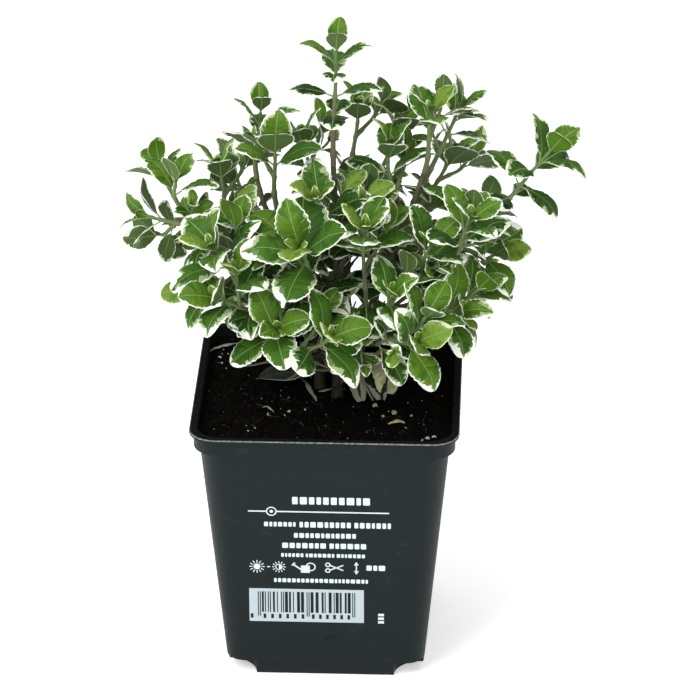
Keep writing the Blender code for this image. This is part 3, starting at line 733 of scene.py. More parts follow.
def rim_surface() -> Surface:
    """Shape the pot's rim as leaves meet it: its inside, top and outside.

    Returns:
        Its corners and faces.
    """
    inner = Pot.mouth_half - GROWTH.gap
    outer = Pot.lip_half + GROWTH.gap
    top = Pot.height + GROWTH.gap
    section = ((inner, GROWTH.soil_level), (inner, top), (outer, top), (outer, 0.5 * Pot.height))
    corners = [Vector((x * half, y * half, z)) for half, z in section for x, y in CORNERS]
    return corners, ring_faces(len(section), len(CORNERS))


def taper(foot: float, tip: float, count: int, flared: bool = False) -> list[float]:
    """Thin radii evenly.

    Args:
        foot: The first radius.
        tip: The last radius.
        count: How many there are.
        flared: Whether the foot is wider.

    Returns:
        The radii.
    """
    radii = []
    for index in range(count):
        share = index / (count - 1)
        wide = (GROWTH.flare_girth - 1.0) * max(0.0, 1.0 - share / GROWTH.flare_share)
        radii.append((foot + (tip - foot) * share) * (1.0 + (wide if flared else 0.0)))
    return radii


def raised_way(heading: float, rise: float) -> Vector:
    """Find a direction.

    Args:
        heading: Its angle on the plan.
        rise: The angle by which it is raised.

    Returns:
        The direction.
    """
    turn = math.radians(heading)
    angle = math.radians(rise)
    return Vector((math.cos(turn) * math.cos(angle), math.sin(turn) * math.cos(angle), math.sin(angle)))


def turned_outward(way: Vector, turn: float) -> Vector:
    """Find a direction square to a twig.

    Args:
        way: The twig's own direction.
        turn: The angle round it from the plant's right.

    Returns:
        The direction.
    """
    right = Vector((1.0, 0.0, 0.0))
    right = (right - way * right.dot(way)).normalized()
    return Quaternion(way, math.radians(turn)) @ right


def leaf_ways(way: Vector, outward: Vector, pitch: float) -> tuple[Vector, Vector]:
    """Find how a leaf stands on its twig.

    Args:
        way: The twig's direction.
        outward: The direction square to it on the leaf's side.
        pitch: The leaf's angle out from the twig.

    Returns:
        The way that the leaf points, and the way that its face looks.
    """
    angle = math.radians(pitch)
    along = way * math.cos(angle) + outward * math.sin(angle)
    return along, way * math.sin(angle) - outward * math.cos(angle)


def smooth_path(path: Path, step: float) -> tuple[list[Vector], np.ndarray, np.ndarray]:
    """Find closer points on a path.

    Args:
        path: The path to walk along.
        step: The greatest distance between the new points.

    Returns:
        The points, their radii and their distances from the tip.
    """
    places = np.array(path.points)
    marks = np.concatenate(([0.0], np.cumsum(np.linalg.norm(np.diff(places, axis=0), axis=1))))
    count = max(int(math.ceil(marks[-1] / step)), 3) + 1
    runs = np.linspace(0.0, marks[-1], count)
    shares = np.interp(runs, marks, np.linspace(0.0, 1.0, len(marks)))
    last = len(places) - 1
    index = np.minimum((shares * last).astype(int), last - 1)
    rest = (shares * last - index)[:, None]
    ways = np.gradient(places, axis=0)
    start, end = places[index], places[index + 1]
    bend = rest * (1.0 - rest) * ((1.0 - rest) * (ways[index] - (end - start)))
    bend += rest * (1.0 - rest) * (rest * ((end - start) - ways[index + 1]))
    points = start + (end - start) * rest + bend
    radii = np.interp(shares, np.linspace(0.0, 1.0, len(path.radii)), path.radii)
    return [Vector(point) for point in points], radii, marks[-1] - runs


class Plant:
    """All the growth: by the solids' own rule first, then finer growth within the same reach."""

    def __init__(self, whole: Reach, nodes: dict[str, Reach]) -> None:
        """Start an empty plant.

        Args:
            whole: The box of the whole model.
            nodes: The box of each mass of leaves, by its node's name.
        """
        self.whole = whole
        self.nodes = nodes
        self.room = Room()
        self.paths: dict[str, Path] = {}
        self.limb_drops: dict[str, list[float]] = {}
        self.twigs: dict[str, list[Twig]] = {}
        self.leaves: dict[str, list[Leaf]] = {}

    def grow_path(self, name: str, course: Course, radii: list[float]) -> Path:
        """Grow a path bowed as little as keeps it clear of what has grown.

        Args:
            name: The name that it goes by.
            course: Its ends.
            radii: The radius at each of its points.

        Returns:
            The path.
        """
        for bow in GROWTH.bows:
            path = course.path(radii, bow)
            if self.room.is_clear(tube_surface(path, GROWTH.gap)):
                self.room.add(name, tube_surface(path))
                return path
        raise ValueError(f"{name} has no way that is clear")

    def grow_limb(self, limb: Limb) -> Path:
        """Grow a stem from the soil, or a bough from its carrier.

        Args:
            limb: The limb.

        Returns:
            Its path.
        """
        tip = Vector(limb.tip)
        is_stem = limb.carrier == "soil"
        if is_stem:
            spacing = 0.0 if limb is LIMBS[0] else GROWTH.stem_spacing
            start = Vector((*GROWTH.foot, GROWTH.stem_cut)) + raised_way(limb.along, 0.0) * spacing
            start_way = UP
        else:
            start, start_way = self.paths[limb.carrier].fork(limb.along, tip, limb.foot_radius)
        count = GROWTH.stem_points if is_stem else GROWTH.limb_points
        radii = taper(limb.foot_radius, limb.tip_radius, count, is_stem)
        course = Course(start, start_way, tip, raised_way(limb.heading, limb.rise))
        return self.grow_path(limb.name, course, radii)

    def grow_main_twig(self, shoot: Shoot) -> Twig:
        """Grow the main twig of a shoot.

        Args:
            shoot: The shoot.

        Returns:
            The twig.
        """
        tip = Vector(shoot.tip)
        start, start_way = self.paths[shoot.limb].fork(shoot.along, tip, GROWTH.twig_foot_radius)
        radii = taper(GROWTH.twig_foot_radius, GROWTH.twig_tip_radius, GROWTH.twig_points)
        course = Course(start, start_way, tip, raised_way(shoot.heading, shoot.rise))
        path = self.grow_path(shoot.name, course, radii)
        return Twig(shoot.name, path, shoot.pairs, shoot.leaf, shoot.young, shoot.roll)

    def grow_side_twig(self, shoot: Shoot, index: int, main: Twig, chance: random.Random) -> Twig | None:
        """Grow a side twig from one of the shoot's lower leaf axils.

        Args:
            shoot: The shoot.
            index: The number of the side twig, counted down.
            main: The shoot's main twig.
            chance: The source of small variations.

        Returns:
            The side twig, or None where it has no room.
        """
        drop = GROWTH.first_pair_drop + sum(GROWTH.pair_spacing[: shoot.pairs - 1])
        drop += GROWTH.side_twig_step * index
        if drop > main.path.length() - GROWTH.bare_foot:
            return None
        place, way = main.path.below(drop)
        radii = taper(GROWTH.side_twig_radius, GROWTH.twig_tip_radius, GROWTH.side_twig_points)
        for turn in GROWTH.side_twig_turns:
            start_way = (way + turned_outward(way, shoot.roll + turn)).normalized()
            tip = place + start_way * chance.uniform(*GROWTH.side_twig_length)
            path = Course(place, start_way, tip, (start_way + UP).normalized()).path(radii)
            if self.room.is_clear(tube_surface(path, GROWTH.gap), (shoot.name,)):
                name = f"{shoot.name} side {index}"
                self.room.add(name, tube_surface(path))
                size = GROWTH.side_twig_leaf * shoot.leaf
                roll = shoot.roll + GROWTH.side_twig_roll
                return Twig(name, path, GROWTH.side_twig_pairs, size, shoot.young, roll)
        return None

    def grow_leaf(
        self, twig: Twig, pair: int, half: float, drop: float, chance: random.Random
    ) -> Leaf | None:
        """Place one leaf where it is clear of all that has grown, or leave it out.

        Args:
            twig: The twig that carries it.
            pair: The number of its pair, counted from the twig's tip.
            half: 0 or 180 degrees, its side of the pair.
            drop: The distance of the pair below the twig's tip.
            chance: The source of small variations.

        Returns:
            The leaf, or None where no way of placing it is clear.
        """
        place, way = twig.path.below(drop)
        stage = min(pair, len(LEAF.pitch) - 1)
        pitch = LEAF.pitch[stage] + chance.uniform(-LEAF.pitch_spread, LEAF.pitch_spread)
        turn = twig.roll + 90.0 * pair + half + chance.uniform(-LEAF.turn_spread, LEAF.turn_spread)
        length = twig.leaf * (twig.young + (1.0 - twig.young) * LEAF.growth[stage])
        length *= 1.0 + chance.uniform(-LEAF.size_spread, LEAF.size_spread)
        form = (chance.uniform(*LEAF.fold), chance.uniform(*LEAF.curl))
        ages = LEAF.ages[stage]
        age = ages[len(self.room.owners) * LEAF.age_stride % len(ages)]
        node = f"{twig.name} pair {pair}"
        lowest = GROWTH.soil_level + GROWTH.soil_clearance
        for more_pitch, more_turn, size in LEAF.tries:
            along, face = leaf_ways(way, turned_outward(way, turn + more_turn), pitch + more_pitch)
            face += UP * LEAF.light_seeking
            face = (face - along * face.dot(along)).normalized()
            leaf = Leaf(place, along, face, length * size, *form, age, twig.stalk)
            if self.room.fits(leaf.solid(GROWTH.gap), (twig.name, node), twig.reach, lowest):
                self.room.add(node, leaf.solid())
                return leaf
        return None

    def grow_pair(self, twig: Twig, pair: int, drop: float, chance: random.Random) -> list[Leaf]:
        """Return those leaves of an opposite pair that have room."""
        grown = [self.grow_leaf(twig, pair, half, drop, chance) for half in (0.0, 180.0)]
        return [leaf for leaf in grown if leaf]

    def grow_leaves(self, twig: Twig, bare_foot: float, chance: random.Random) -> list[Leaf]:
        """Grow a twig's leaves, in crossed opposite pairs from its tip down.

        Args:
            twig: The twig.
            bare_foot: The length of its foot that bears none.
            chance: The source of small variations.

        Returns:
            The leaves.
        """
        leaves = []
        drop = GROWTH.first_pair_drop
        for pair in range(twig.pairs):
            if drop > twig.path.length() - bare_foot:
                break
            leaves += self.grow_pair(twig, pair, drop, chance)
            twig.drops.append(drop)
            drop += GROWTH.pair_spacing[pair]
        return leaves

    def grow_frame(self) -> None:
        """Grow the limbs, twigs and leaves that the solids have."""
        self.room.add("rim", rim_surface())
        for limb in LIMBS:
            self.paths[limb.name] = self.grow_limb(limb)
        self.twigs = {shoot.name: [self.grow_main_twig(shoot)] for shoot in SHOOTS}
        chances = {shoot.name: random.Random(shoot.name) for shoot in SHOOTS}
        for shoot in SHOOTS:
            twigs = self.twigs[shoot.name]
            for index in range(shoot.sides):
                side_twig = self.grow_side_twig(shoot, index, twigs[0], chances[shoot.name])
                twigs += [side_twig] if side_twig else []
        for shoot in SHOOTS:
            twigs = self.twigs[shoot.name]
            grown = [self.grow_leaves(twig, GROWTH.bare_foot, chances[shoot.name]) for twig in twigs]
            self.leaves[shoot.name] = [leaf for group in grown for leaf in group]

    def grow_bud(self, twig: Twig, chance: random.Random) -> list[Leaf]:
        """Grow the two smallest leaves, which stand up at a twig's tip.

        Args:
            twig: The twig.
            chance: The source of small variations.

        Returns:
            The leaves.
        """
        place, way = twig.path.below(0.0)
        buds = []
        for half in (0.0, 180.0):
            pitch = FINER.bud_pitch * chance.uniform(*FINER.bud_lean)
            turn = twig.roll - 90.0 + half + chance.uniform(-FINER.bud_turn, FINER.bud_turn)
            along, face = leaf_ways(way, turned_outward(way, turn), pitch)
            length = max(FINER.bud_leaf * twig.leaf, FINER.bud_least) * chance.uniform(*FINER.bud_sizes)
            form = (length, FINER.bud_fold, FINER.bud_curl, Age.YOUNG, FINER.bud_stalk)
            buds.append(Leaf(place - way * FINER.bud_sunk, along, face.normalized(), *form))
        return buds

    def grow_sprig(self, host: Twig, drop: float, turn: float, chance: random.Random) -> list:
        """Grow a short side sprig with its small leaves.

        Args:
            host: The twig that carries it.
            drop: Its distance below the twig's tip.
            turn: Its angle round the twig.
            chance: The source of small variations.

        Returns:
            The sprig and then its leaves, or nothing where it has no room.
        """
        place, way = host.path.below(drop)
        start_way = (way * FINER.sprig_rise + turned_outward(way, turn)).normalized()
        tip = place + start_way * chance.uniform(*FINER.sprig_length)
        course = Course(place, start_way, tip, (start_way + UP * FINER.sprig_rise).normalized())
        end_radius = FINER.sprig_taper * FINER.sprig_radius
        path = course.path(taper(FINER.sprig_radius, end_radius, FINER.sprig_points))
        if not self.room.fits(tube_surface(path, GROWTH.gap), (host.name,), host.reach):
            return []
        name = f"{host.name} sprig {drop:.1f} {turn:.0f}"
        form = (FINER.sprig_pairs, FINER.sprig_leaf * host.leaf, FINER.sprig_young)
        roll = host.roll + FINER.sprig_roll
        sprig = Twig(name, path, *form, roll, reach=host.reach, stalk=FINER.sprig_stalk)
        leaves = self.grow_leaves(sprig, FINER.sprig_bare_foot, chance)
        if not leaves:
            return []
        self.room.add(name, tube_surface(path))
        return [sprig, *self.grow_bud(sprig, chance), *leaves]

    def grow_sprigs(
        self, owner: str, host: Twig, drop: float, turns: Sequence[float], odds: float, chance: random.Random
    ) -> None:
        """Grow sprigs at one distance down a twig, where chance and the room allow.

        Args:
            owner: The mass or limb that they count to.
            host: The twig that carries them.
            drop: Their distance below the twig's tip.
            turns: Their angles round the twig.
            odds: The chance of each.
            chance: The source of small variations.
        """
        for turn in turns:
            if chance.random() <= odds:
                grown = self.grow_sprig(host, drop, turn, chance)
                self.twigs[owner] += grown[:1]
                self.leaves[owner] += grown[1:]

    def grow_shoot_finer(self, shoot: Shoot) -> None:
        """Grow what the solids leave out of a shoot: buds, lower pairs and sprigs.

        Args:
            shoot: The shoot.
        """
        chance = random.Random(f"{shoot.name} finer")
        reach = self.nodes[shoot.name].grown(FINER.reach, self.whole)
        reach.low[2] = max(reach.low[2] + FINER.reach, GROWTH.soil_level)
        leaves = self.leaves[shoot.name]
        for twig in list(self.twigs[shoot.name]):
            twig.reach = reach
            leaves += self.grow_bud(twig, chance)
            length = twig.path.length()
            lower = replace(twig, leaf=twig.leaf * FINER.lower_leaf)
            drop = (twig.drops[-1] if twig.drops else 0.0) + FINER.lower_step
            for pair in range(len(twig.drops), len(twig.drops) + FINER.lower_pairs):
                if drop > length - FINER.lower_last:
                    break
                if chance.random() < FINER.fullness(twig.path.below(drop)[0].z):
                    leaves += self.grow_pair(lower, pair, drop, chance)
                twig.drops.append(drop)
                drop += FINER.lower_step
            drop = FINER.sprig_first_drop
            while drop < length - FINER.sprig_last:
                turns = list(FINER.sprig_turns)
                chance.shuffle(turns)
                turns = [twig.roll + turn for turn in turns[: FINER.sprig_tries]]
                odds = FINER.sprig_chance * FINER.fullness(twig.path.below(drop)[0].z)
                self.grow_sprigs(shoot.name, twig, drop, turns, odds, chance)
                drop += FINER.sprig_step

    def grow_limb_finer(self, limb: Limb) -> None:
        """Grow leaves and sprigs on the upper part of a stem or bough.

        Args:
            limb: The limb.
        """
        chance = random.Random(f"{limb.name} finer")
        path = self.paths[limb.name]
        host = Twig(limb.name, path, 0, FINER.limb_leaf, 1.0, chance.uniform(0.0, 90.0), reach=self.whole)
        self.leaves[limb.name] = []
        self.twigs[limb.name] = []
        self.limb_drops[limb.name] = host.drops
        drop = FINER.limb_first_drop
        pair = FINER.limb_first_pair
        while drop < path.length() * FINER.limb_leaf_share:
            height = path.below(drop)[0].z
            if height <= FINER.bare_height:
                break
            fullness = FINER.fullness(height)
            if chance.random() < fullness:
                self.leaves[limb.name] += self.grow_pair(host, pair, drop, chance)
            turns = [host.roll + 90.0 * pair + turn for turn in FINER.limb_sprig_turns]
            odds = FINER.limb_sprig_share * FINER.sprig_chance * fullness
            self.grow_sprigs(limb.name, host, drop + FINER.limb_sprig_drop, turns, odds, chance)
            host.drops.append(drop)
            drop += FINER.limb_leaf_step * chance.uniform(*FINER.limb_leaf_spread)
            pair += 1

    def grow_bare_twigs(self, limb: Limb) -> None:
        """Grow thin leafless twigs on the inner part of a limb, wherever they have room.

        Args:
            limb: The limb.
        """
        chance = random.Random(f"{limb.name} bare")
        path = self.paths[limb.name]
        radii = taper(FINER.bare_radius, FINER.bare_taper * FINER.bare_radius, FINER.bare_points)
        lowest = GROWTH.soil_level + FINER.bare_clearance
        run = FINER.bare_step
        while run < path.length() and path.spot(run / path.length())[0].z < FINER.bare_below:
            place, way, _ = path.spot(run / path.length())
            outward = turned_outward(way, chance.uniform(0.0, 360.0))
            start_way = (way * chance.uniform(*FINER.bare_lean) + outward).normalized()
            tip_way = (start_way + UP * chance.uniform(*FINER.bare_rise)).normalized()
            tip = place + start_way * chance.uniform(*FINER.bare_length)
            bow = chance.uniform(-FINER.bare_bow, FINER.bare_bow)
            bare = Course(place, start_way, tip, tip_way).path(radii, bow)
            if self.room.fits(tube_surface(bare, FINER.bare_gap), (limb.name,), self.whole, lowest):
                name = f"{limb.name} bare {run:.1f}"
                self.room.add(name, tube_surface(bare))
                nodes = [share * bare.length() for share in FINER.bare_nodes]
                self.twigs[limb.name].append(Twig(name, bare, 0, 0.0, 1.0, 0.0, nodes, FINER.bare_older))
            run += FINER.bare_step * chance.uniform(*FINER.bare_spread)

    def grow_finer(self) -> None:
        """Grow all that the solids leave out."""
        for shoot in SHOOTS:
            self.grow_shoot_finer(shoot)
        for limb in LIMBS:
            self.grow_limb_finer(limb)
        for limb in LIMBS:
            self.grow_bare_twigs(limb)


class JoinedMesh:
    """Many small lofted bodies that become one object."""

    def __init__(self, name: str) -> None:
        """Start an empty mesh.

        Args:
            name: The name of the piece that it becomes.
        """
        self.name = name
        self.count = 0
        self.corners: list[np.ndarray] = []
        self.quads: list[np.ndarray] = []
        self.quad_tones: list[np.ndarray] = []
        self.fans: list[np.ndarray] = []
        self.fan_tones: list[np.ndarray] = []

    def loft(self, rings: np.ndarray, foot: np.ndarray, tip: np.ndarray, tones: np.ndarray) -> None:
        """Add one closed body: rings of points that run anticlockwise round its way, and its two ends.

        Args:
            rings: The points, by ring and by place in the ring.
            foot: The point that closes the first ring.
            tip: The point that closes the last ring.
            tones: The tone of each face, for each ring and the last cap, by place in the ring.
        """
        count, sides, _ = rings.shape
        step = np.arange(sides)
        beside = (step + 1) % sides
        rows = np.arange(count)[:, None] * sides + self.count
        low, low_beside = rows[:-1] + step, rows[:-1] + beside
        self.quads.append(np.stack((low, low_beside, low_beside + sides, low + sides), -1).reshape(-1, 4))
        self.quad_tones.append(tones[1:-1].reshape(-1))
        end = self.count + count * sides
        first = np.stack((np.full(sides, end), rows[0] + beside, rows[0] + step), -1)
        last = np.stack((np.full(sides, end + 1), rows[-1] + step, rows[-1] + beside), -1)
        self.fans.append(np.concatenate((first, last)))
        self.fan_tones.append(np.concatenate((tones[0], tones[-1])))
        self.corners.append(np.concatenate((rings.reshape(-1, 3), [foot, tip])))
        self.count = end + 2

    def even_loft(self, rings: np.ndarray, tone: Tone) -> None:
        """Add a closed body of one tone whose ends are the middles of its end rings."""
        tones = np.full((rings.shape[0] + 1, rings.shape[1]), int(tone))
        self.loft(rings, rings[0].mean(0), rings[-1].mean(0), tones)

    def build(self, paints: "PaintBox", sharp: float) -> bpy.types.Object:
        """Make the object, in metres, with a material for each tone.

        Args:
            paints: The materials.
            sharp: The angle past which an edge is sharp.

        Returns:
            The object.
        """
        mesh = bpy.data.meshes.new(self.name)
        corners = np.concatenate(self.corners) * MM
        faces = np.concatenate(self.quads).tolist() + np.concatenate(self.fans).tolist()
        mesh.from_pydata(corners.tolist(), [], faces)
        kinds, index = np.unique(np.concatenate(self.quad_tones + self.fan_tones), return_inverse=True)
        for kind in kinds:
            mesh.materials.append(paints.material(Tone(int(kind))))
        mesh.polygons.foreach_set("material_index", index.reshape(-1).astype(np.int32))
        mesh.shade_smooth()
        mesh.set_sharp_from_angle(angle=math.radians(sharp))
        piece = bpy.data.objects.new(self.name, mesh)
        bpy.context.scene.collection.objects.link(piece)
        return piece


@dataclass(frozen=True)
class Blade:
    """How a leaf's blade is drawn: its stations, its relief, and how its margin runs."""

    # Shares of the blade: where its side veins leave the rib, and the stations between them
    veins: tuple[float, ...] = (0.17, 0.33, 0.50, 0.67)
    vein_half: float = 0.005
    vein_shift: float = 0.02
    between: tuple[float, ...] = (
        0.06, 0.115, 0.22, 0.275, 0.385, 0.44, 0.555, 0.61, 0.725, 0.78, 0.835, 0.885, 0.93, 0.97,
    )
    small_stations: tuple[float, ...] = (0.1, 0.28, 0.46, 0.64, 0.8, 0.92)
    # The length under which a leaf is drawn with less, and the length that the relief's sizes fit
    small: float = 9.5
    usual: float = 16.0
    skew: float = 0.15
    breadth: Span = (0.9, 1.18)
    lean: Span = (0.98, 1.25)
    foot_power: float = 0.8
    tip_power: Span = (0.32, 0.64)
    tooth: float = 0.19
    tooth_spread: Span = (0.3, 1.6)
    rib_foot: float = 0.27
    rib_tip: float = 0.1
    rib_most: float = 0.4
    small_rib: float = 0.75
    margin: Span = (0.15, 0.42)
    tip_margin: Span = (0.3, 2.2)
    tip_from: float = 0.6
    margin_spread: Span = (0.55, 1.4)
    margin_most: float = 0.95
    margin_inset: float = 0.2
    # Factors on the margin of a young leaf and a small one, and by chance on one side or one station
    young_margin: float = 0.6
    small_margin: float = 0.7
    variety: tuple[float, ...] = (0.8, 1.0, 1.0, 1.0, 1.0, 1.2, 2.0)
    spikes: tuple[float, ...] = (1.0, 1.0, 1.0, 1.0, 1.0, 1.0, 2.2)
    # Where the cream may take the whole tip; past 1 it doesn't
    cream_tips: tuple[float, ...] = (2.0, 2.0, 2.0, 0.9, 0.82, 0.7)
    withered_from: float = 0.45
    patch: Span = (0.15, 1.3)
    patch_inset: float = 0.4
    patch_least: float = 0.02
    patch_change: float = 0.4
    # How far out from the rib a darker patch begins, and the chance of one between two side veins
    feather: Span = (0.15, 0.8)
    shade: float = 0.4
    thickness: float = 0.12
    small_thickness: float = 1.4
    puff: float = 0.34
    bulge: float = 0.4
    under_puff: float = 0.8
    arch: Span = (0.5, 1.6)
    droop: Span = (0.2, 1.3)
    droop_from: float = 0.6
    groove: float = 0.1
    keel: float = 0.3
    keel_taper: float = 0.7
    keel_breadth: float = 0.8
    wave: float = 0.34
    wave_turns: Span = (1.2, 2.8)
    foot_reach: float = -0.01
    stalk_sides: int = 5
    stalk_radius: float = 0.38
    stalk_girths: tuple[float, ...] = (1.15, 0.9, 0.75)
    stalk_root: float = -0.2
    stalk_end: float = 0.06
    stalk_low: float = 0.1
    full_stalk: float = 14.0
    sharp: float = 55.0

    def add(self, leaf: Leaf, chance: random.Random, mesh: JoinedMesh) -> None:
        """Add one leaf, blade and stalk, to a joined mesh.

        Args:
            leaf: The leaf.
            chance: The source of its small variations.
            mesh: The mesh that it joins.
        """
        draft = LeafDraft(self, leaf, chance)
        rings, ends = draft.surface()
        mesh.loft(rings, ends[0], ends[1], draft.tones())
        self.add_stalk(leaf, mesh)

    def add_stalk(self, leaf: Leaf, mesh: JoinedMesh) -> None:
        """Add a leaf's stalk, from within its twig to within its blade.

        Args:
            leaf: The leaf.
            mesh: The mesh that it joins.
        """
        size = min(leaf.length / self.full_stalk, 1.0)
        marks = (self.stalk_root, 0.5 * leaf.stalk, leaf.stalk + self.stalk_end * leaf.length)
        points = [leaf.root + leaf.along * mark - leaf.face * self.stalk_low * size for mark in marks]
        radii = [self.stalk_radius * size * share for share in self.stalk_girths]
        tone = Tone.UMBER if leaf.age in OLD_AGES else Tone.RIB
        mesh.even_loft(np.array(path_rings(points, radii, self.stalk_sides)), tone)


class LeafDraft:
    """One leaf as it is drawn: what each of its stations measures, from one margin to the other."""

    # How many of a ring's points are on top; then strips, counted from a margin: the rib's, each side's
    # patch and the green inward of it, the greens that may be shaded, and those that a vein may cross
    tops: int = 10
    ribs: tuple[int, int] = (4, 11)
    margins: tuple[tuple[int, int], ...] = ((1, 2), (7, 6))
    greens: tuple[int, int] = (2, 6)
    veined: tuple[int, ...] = (1, 2, 3, 5, 6, 7)

    def __init__(self, form: Blade, leaf: Leaf, chance: random.Random) -> None:
        """Work out the stations, and the blade's breadth and rib at each.

        Args:
            form: How blades are drawn.
            leaf: The leaf.
            chance: The source of its small variations.
        """
        self.form = form
        self.leaf = leaf
        self.chance = chance
        self.small = leaf.length < form.small
        self.size = leaf.length / form.usual
        self.stations, self.is_vein = self.find_stations()
        self.edge = self.stations + form.skew * np.sin(np.pi * self.stations)
        self.half = self.find_half_breadths()
        rib = (form.rib_foot + (form.rib_tip - form.rib_foot) * self.stations) / self.half
        self.rib = np.minimum(rib, form.rib_most) * (form.small_rib if self.small else 1.0)
        self.cream_from: list[float] = []

    def several(self, span: Span, count: int | None = None) -> np.ndarray:
        """Return numbers by chance, one for each station or as many as are asked for."""
        return np.array([self.chance.uniform(*span) for _ in range(count or len(self.stations))])

    def find_stations(self) -> tuple[np.ndarray, np.ndarray]:
        """Find where the blade has a ring.

        Returns:
            The shares of the blade, and which of them are a vein's edges.
        """
        form = self.form
        if self.small:
            return np.array(form.small_stations), np.zeros(len(form.small_stations), bool)
        veins = [vein + self.chance.uniform(-form.vein_shift, form.vein_shift) for vein in form.veins]
        edges = [vein + side * form.vein_half for vein in veins for side in (-1.0, 1.0)]
        marks = sorted([(edge, True) for edge in edges] + [(mark, False) for mark in form.between])
        return np.array([mark for mark, _ in marks]), np.array([vein for _, vein in marks])

    def find_half_breadths(self) -> np.ndarray:
        """Find how broad the blade is, with the teeth of its edge.

        Returns:
            Half its breadth at each station.
        """
        form, chance = self.form, self.chance
        wide = 0.5 * LEAF.breadth * self.leaf.length * chance.uniform(*form.breadth)
        blunt = form.foot_power + (chance.uniform(*form.tip_power) - form.foot_power) * self.edge
        half = wide * np.sin(np.pi * self.edge ** chance.uniform(*form.lean)) ** blunt
        close = np.diff(self.edge) < 4.0 * form.vein_half
        twins = np.concatenate(([False], self.is_vein[1:] & self.is_vein[:-1] & close))
        teeth = np.cumsum(~twins)
        depths = self.several(form.tooth_spread, teeth[-1] + 1) * form.tooth * self.size
        signs = np.where(teeth % 2, 1.0, -1.0)
        return half + depths[teeth] * signs * np.minimum(half / wide, 1.0) ** 2

    def find_bounds(self) -> tuple[np.ndarray, np.ndarray]:
        """Find where one side's cream margin and its patches begin.

        Returns:
            Both at each station, as shares of the half breadth.
        """
        form, chance, rib = self.form, self.chance, self.rib
        young = self.leaf.age in (Age.YOUNG, Age.FRESH)
        scale = (form.young_margin if young else 1.0) * (form.small_margin if self.small else 1.0)
        scale *= chance.choice(form.variety)
        spans = (form.margin, form.tip_margin)
        width, tip = ((low + (high - low) * chance.random() ** 2) * scale for low, high in spans)
        rough = [chance.uniform(*form.margin_spread) * chance.choice(form.spikes) for _ in self.stations]
        toward_tip = np.clip((self.stations - form.tip_from) / (1.0 - form.tip_from), 0.0, 1.0)
        widths = (width + (tip - width) * toward_tip) * np.array(rough)
        margin = np.clip(1.0 - widths / self.half, rib + form.margin_inset * (1.0 - rib), form.margin_most)
        patches = self.several(form.patch) * scale
        least = rib + form.patch_inset * (margin - rib)
        patch = np.clip(margin - patches / self.half, least, margin - form.patch_least)
        cream_from = form.cream_tips[0] if young else chance.choice(form.cream_tips)
        self.cream_from.append(form.withered_from if self.leaf.age is Age.WITHERED else cream_from)
        return margin, patch

    def surface(self) -> tuple[np.ndarray, np.ndarray]:
        """Shape the blade.

        Returns:
            Its rings, and the points at its foot and tip.
        """
        form, leaf, chance, rib = self.form, self.leaf, self.chance, self.rib
        (margin, patch), (other_margin, other_patch) = (self.find_bounds() for _ in (0, 1))
        inner = rib + (patch - rib) * self.several(form.feather)
        other_inner = rib + (other_patch - rib) * self.several(form.feather)
        ones = np.ones(len(self.stations))
        tops = [ones, margin, patch, inner, rib, -rib, -other_inner, -other_patch, -other_margin, -ones]
        unders = [-other_margin, -form.keel_breadth * rib, form.keel_breadth * rib, margin]
        across = np.stack(tops + unders, 1)
        reach = self.stations[:, None] + (self.edge - self.stations)[:, None] * np.abs(across)
        droop = leaf.length * chance.uniform(*form.droop)
        arch = chance.uniform(*form.arch) * math.sin(math.radians(leaf.fold))
        past = np.clip(reach - form.droop_from, 0.0, 1.0)
        lift = self.find_lifts(across) - (arch * self.half[:, None] * across**2 + droop * past**2)
        low_tip = np.array([[0.0], [-droop * (1.0 - form.droop_from) ** 2]])
        ends = self.places(np.array([[form.foot_reach], [1.0]]), np.zeros((2, 1)), low_tip)
        return self.places(reach, across * self.half[:, None], lift), ends[:, 0]

    def find_lifts(self, across: np.ndarray) -> np.ndarray:
        """Find how high the blade's relief stands.

        Args:
            across: Each point's share of the half breadth, by ring.

        Returns:
            The height of each over the leaf's folded surface.
        """
        form, size, tops, rib = self.form, self.size, self.tops, self.ribs[0]
        share = np.abs(across)
        along = np.sin(np.pi * self.stations)[:, None]
        relief = form.thickness * np.sqrt(np.clip(1.0 - share**4, 0.0, 1.0))
        relief = relief * min(size * form.small_thickness, 1.0)
        between = np.where(self.is_vein[:, None], 0.0, along)
        puff = (form.puff * between + form.bulge * along) * size * np.sin(np.pi * np.clip(share, 0.0, 1.0))
        lift = relief + puff
        lift[:, rib : rib + 2] -= form.groove * size
        lift[:, tops:] = -relief[:, tops:] + form.under_puff * puff[:, tops:]
        lift[:, tops + 1 : tops + 3] -= form.keel * size * (1.0 - form.keel_taper * self.stations[:, None])
        phases = self.several((0.0, math.tau), 2)
        turns = self.chance.uniform(*form.wave_turns)
        for sign, phase in zip((1.0, -1.0), phases):
            wave = form.wave * size * np.sin(math.tau * turns * self.stations + phase)[:, None] * share**2
            lift += np.where(np.sign(across) == sign, wave * along, 0.0)
        return lift

    def places(self, reach: np.ndarray, half: np.ndarray, lift: np.ndarray) -> np.ndarray:
        """Find points on the leaf, as Leaf.spot does, for many at a time.

        Args:
            reach: The share of the blade's length of each.
            half: The distance of each from the rib, in millimetres.
            lift: The height of each over the surface.

        Returns:
            The points.
        """
        leaf = self.leaf
        bend, fold = math.radians(leaf.curl), math.radians(leaf.fold)
        run = leaf.stalk + leaf.length * np.sin(bend * reach) / bend
        drop = leaf.length * (1.0 - np.cos(bend * reach)) / bend
        height = lift - drop + np.abs(half) * math.sin(fold)
        side = np.array(leaf.face.cross(leaf.along))
        flat = np.array(leaf.root) + run[..., None] * np.array(leaf.along)
        return flat + (half * math.cos(fold))[..., None] * side + height[..., None] * np.array(leaf.face)

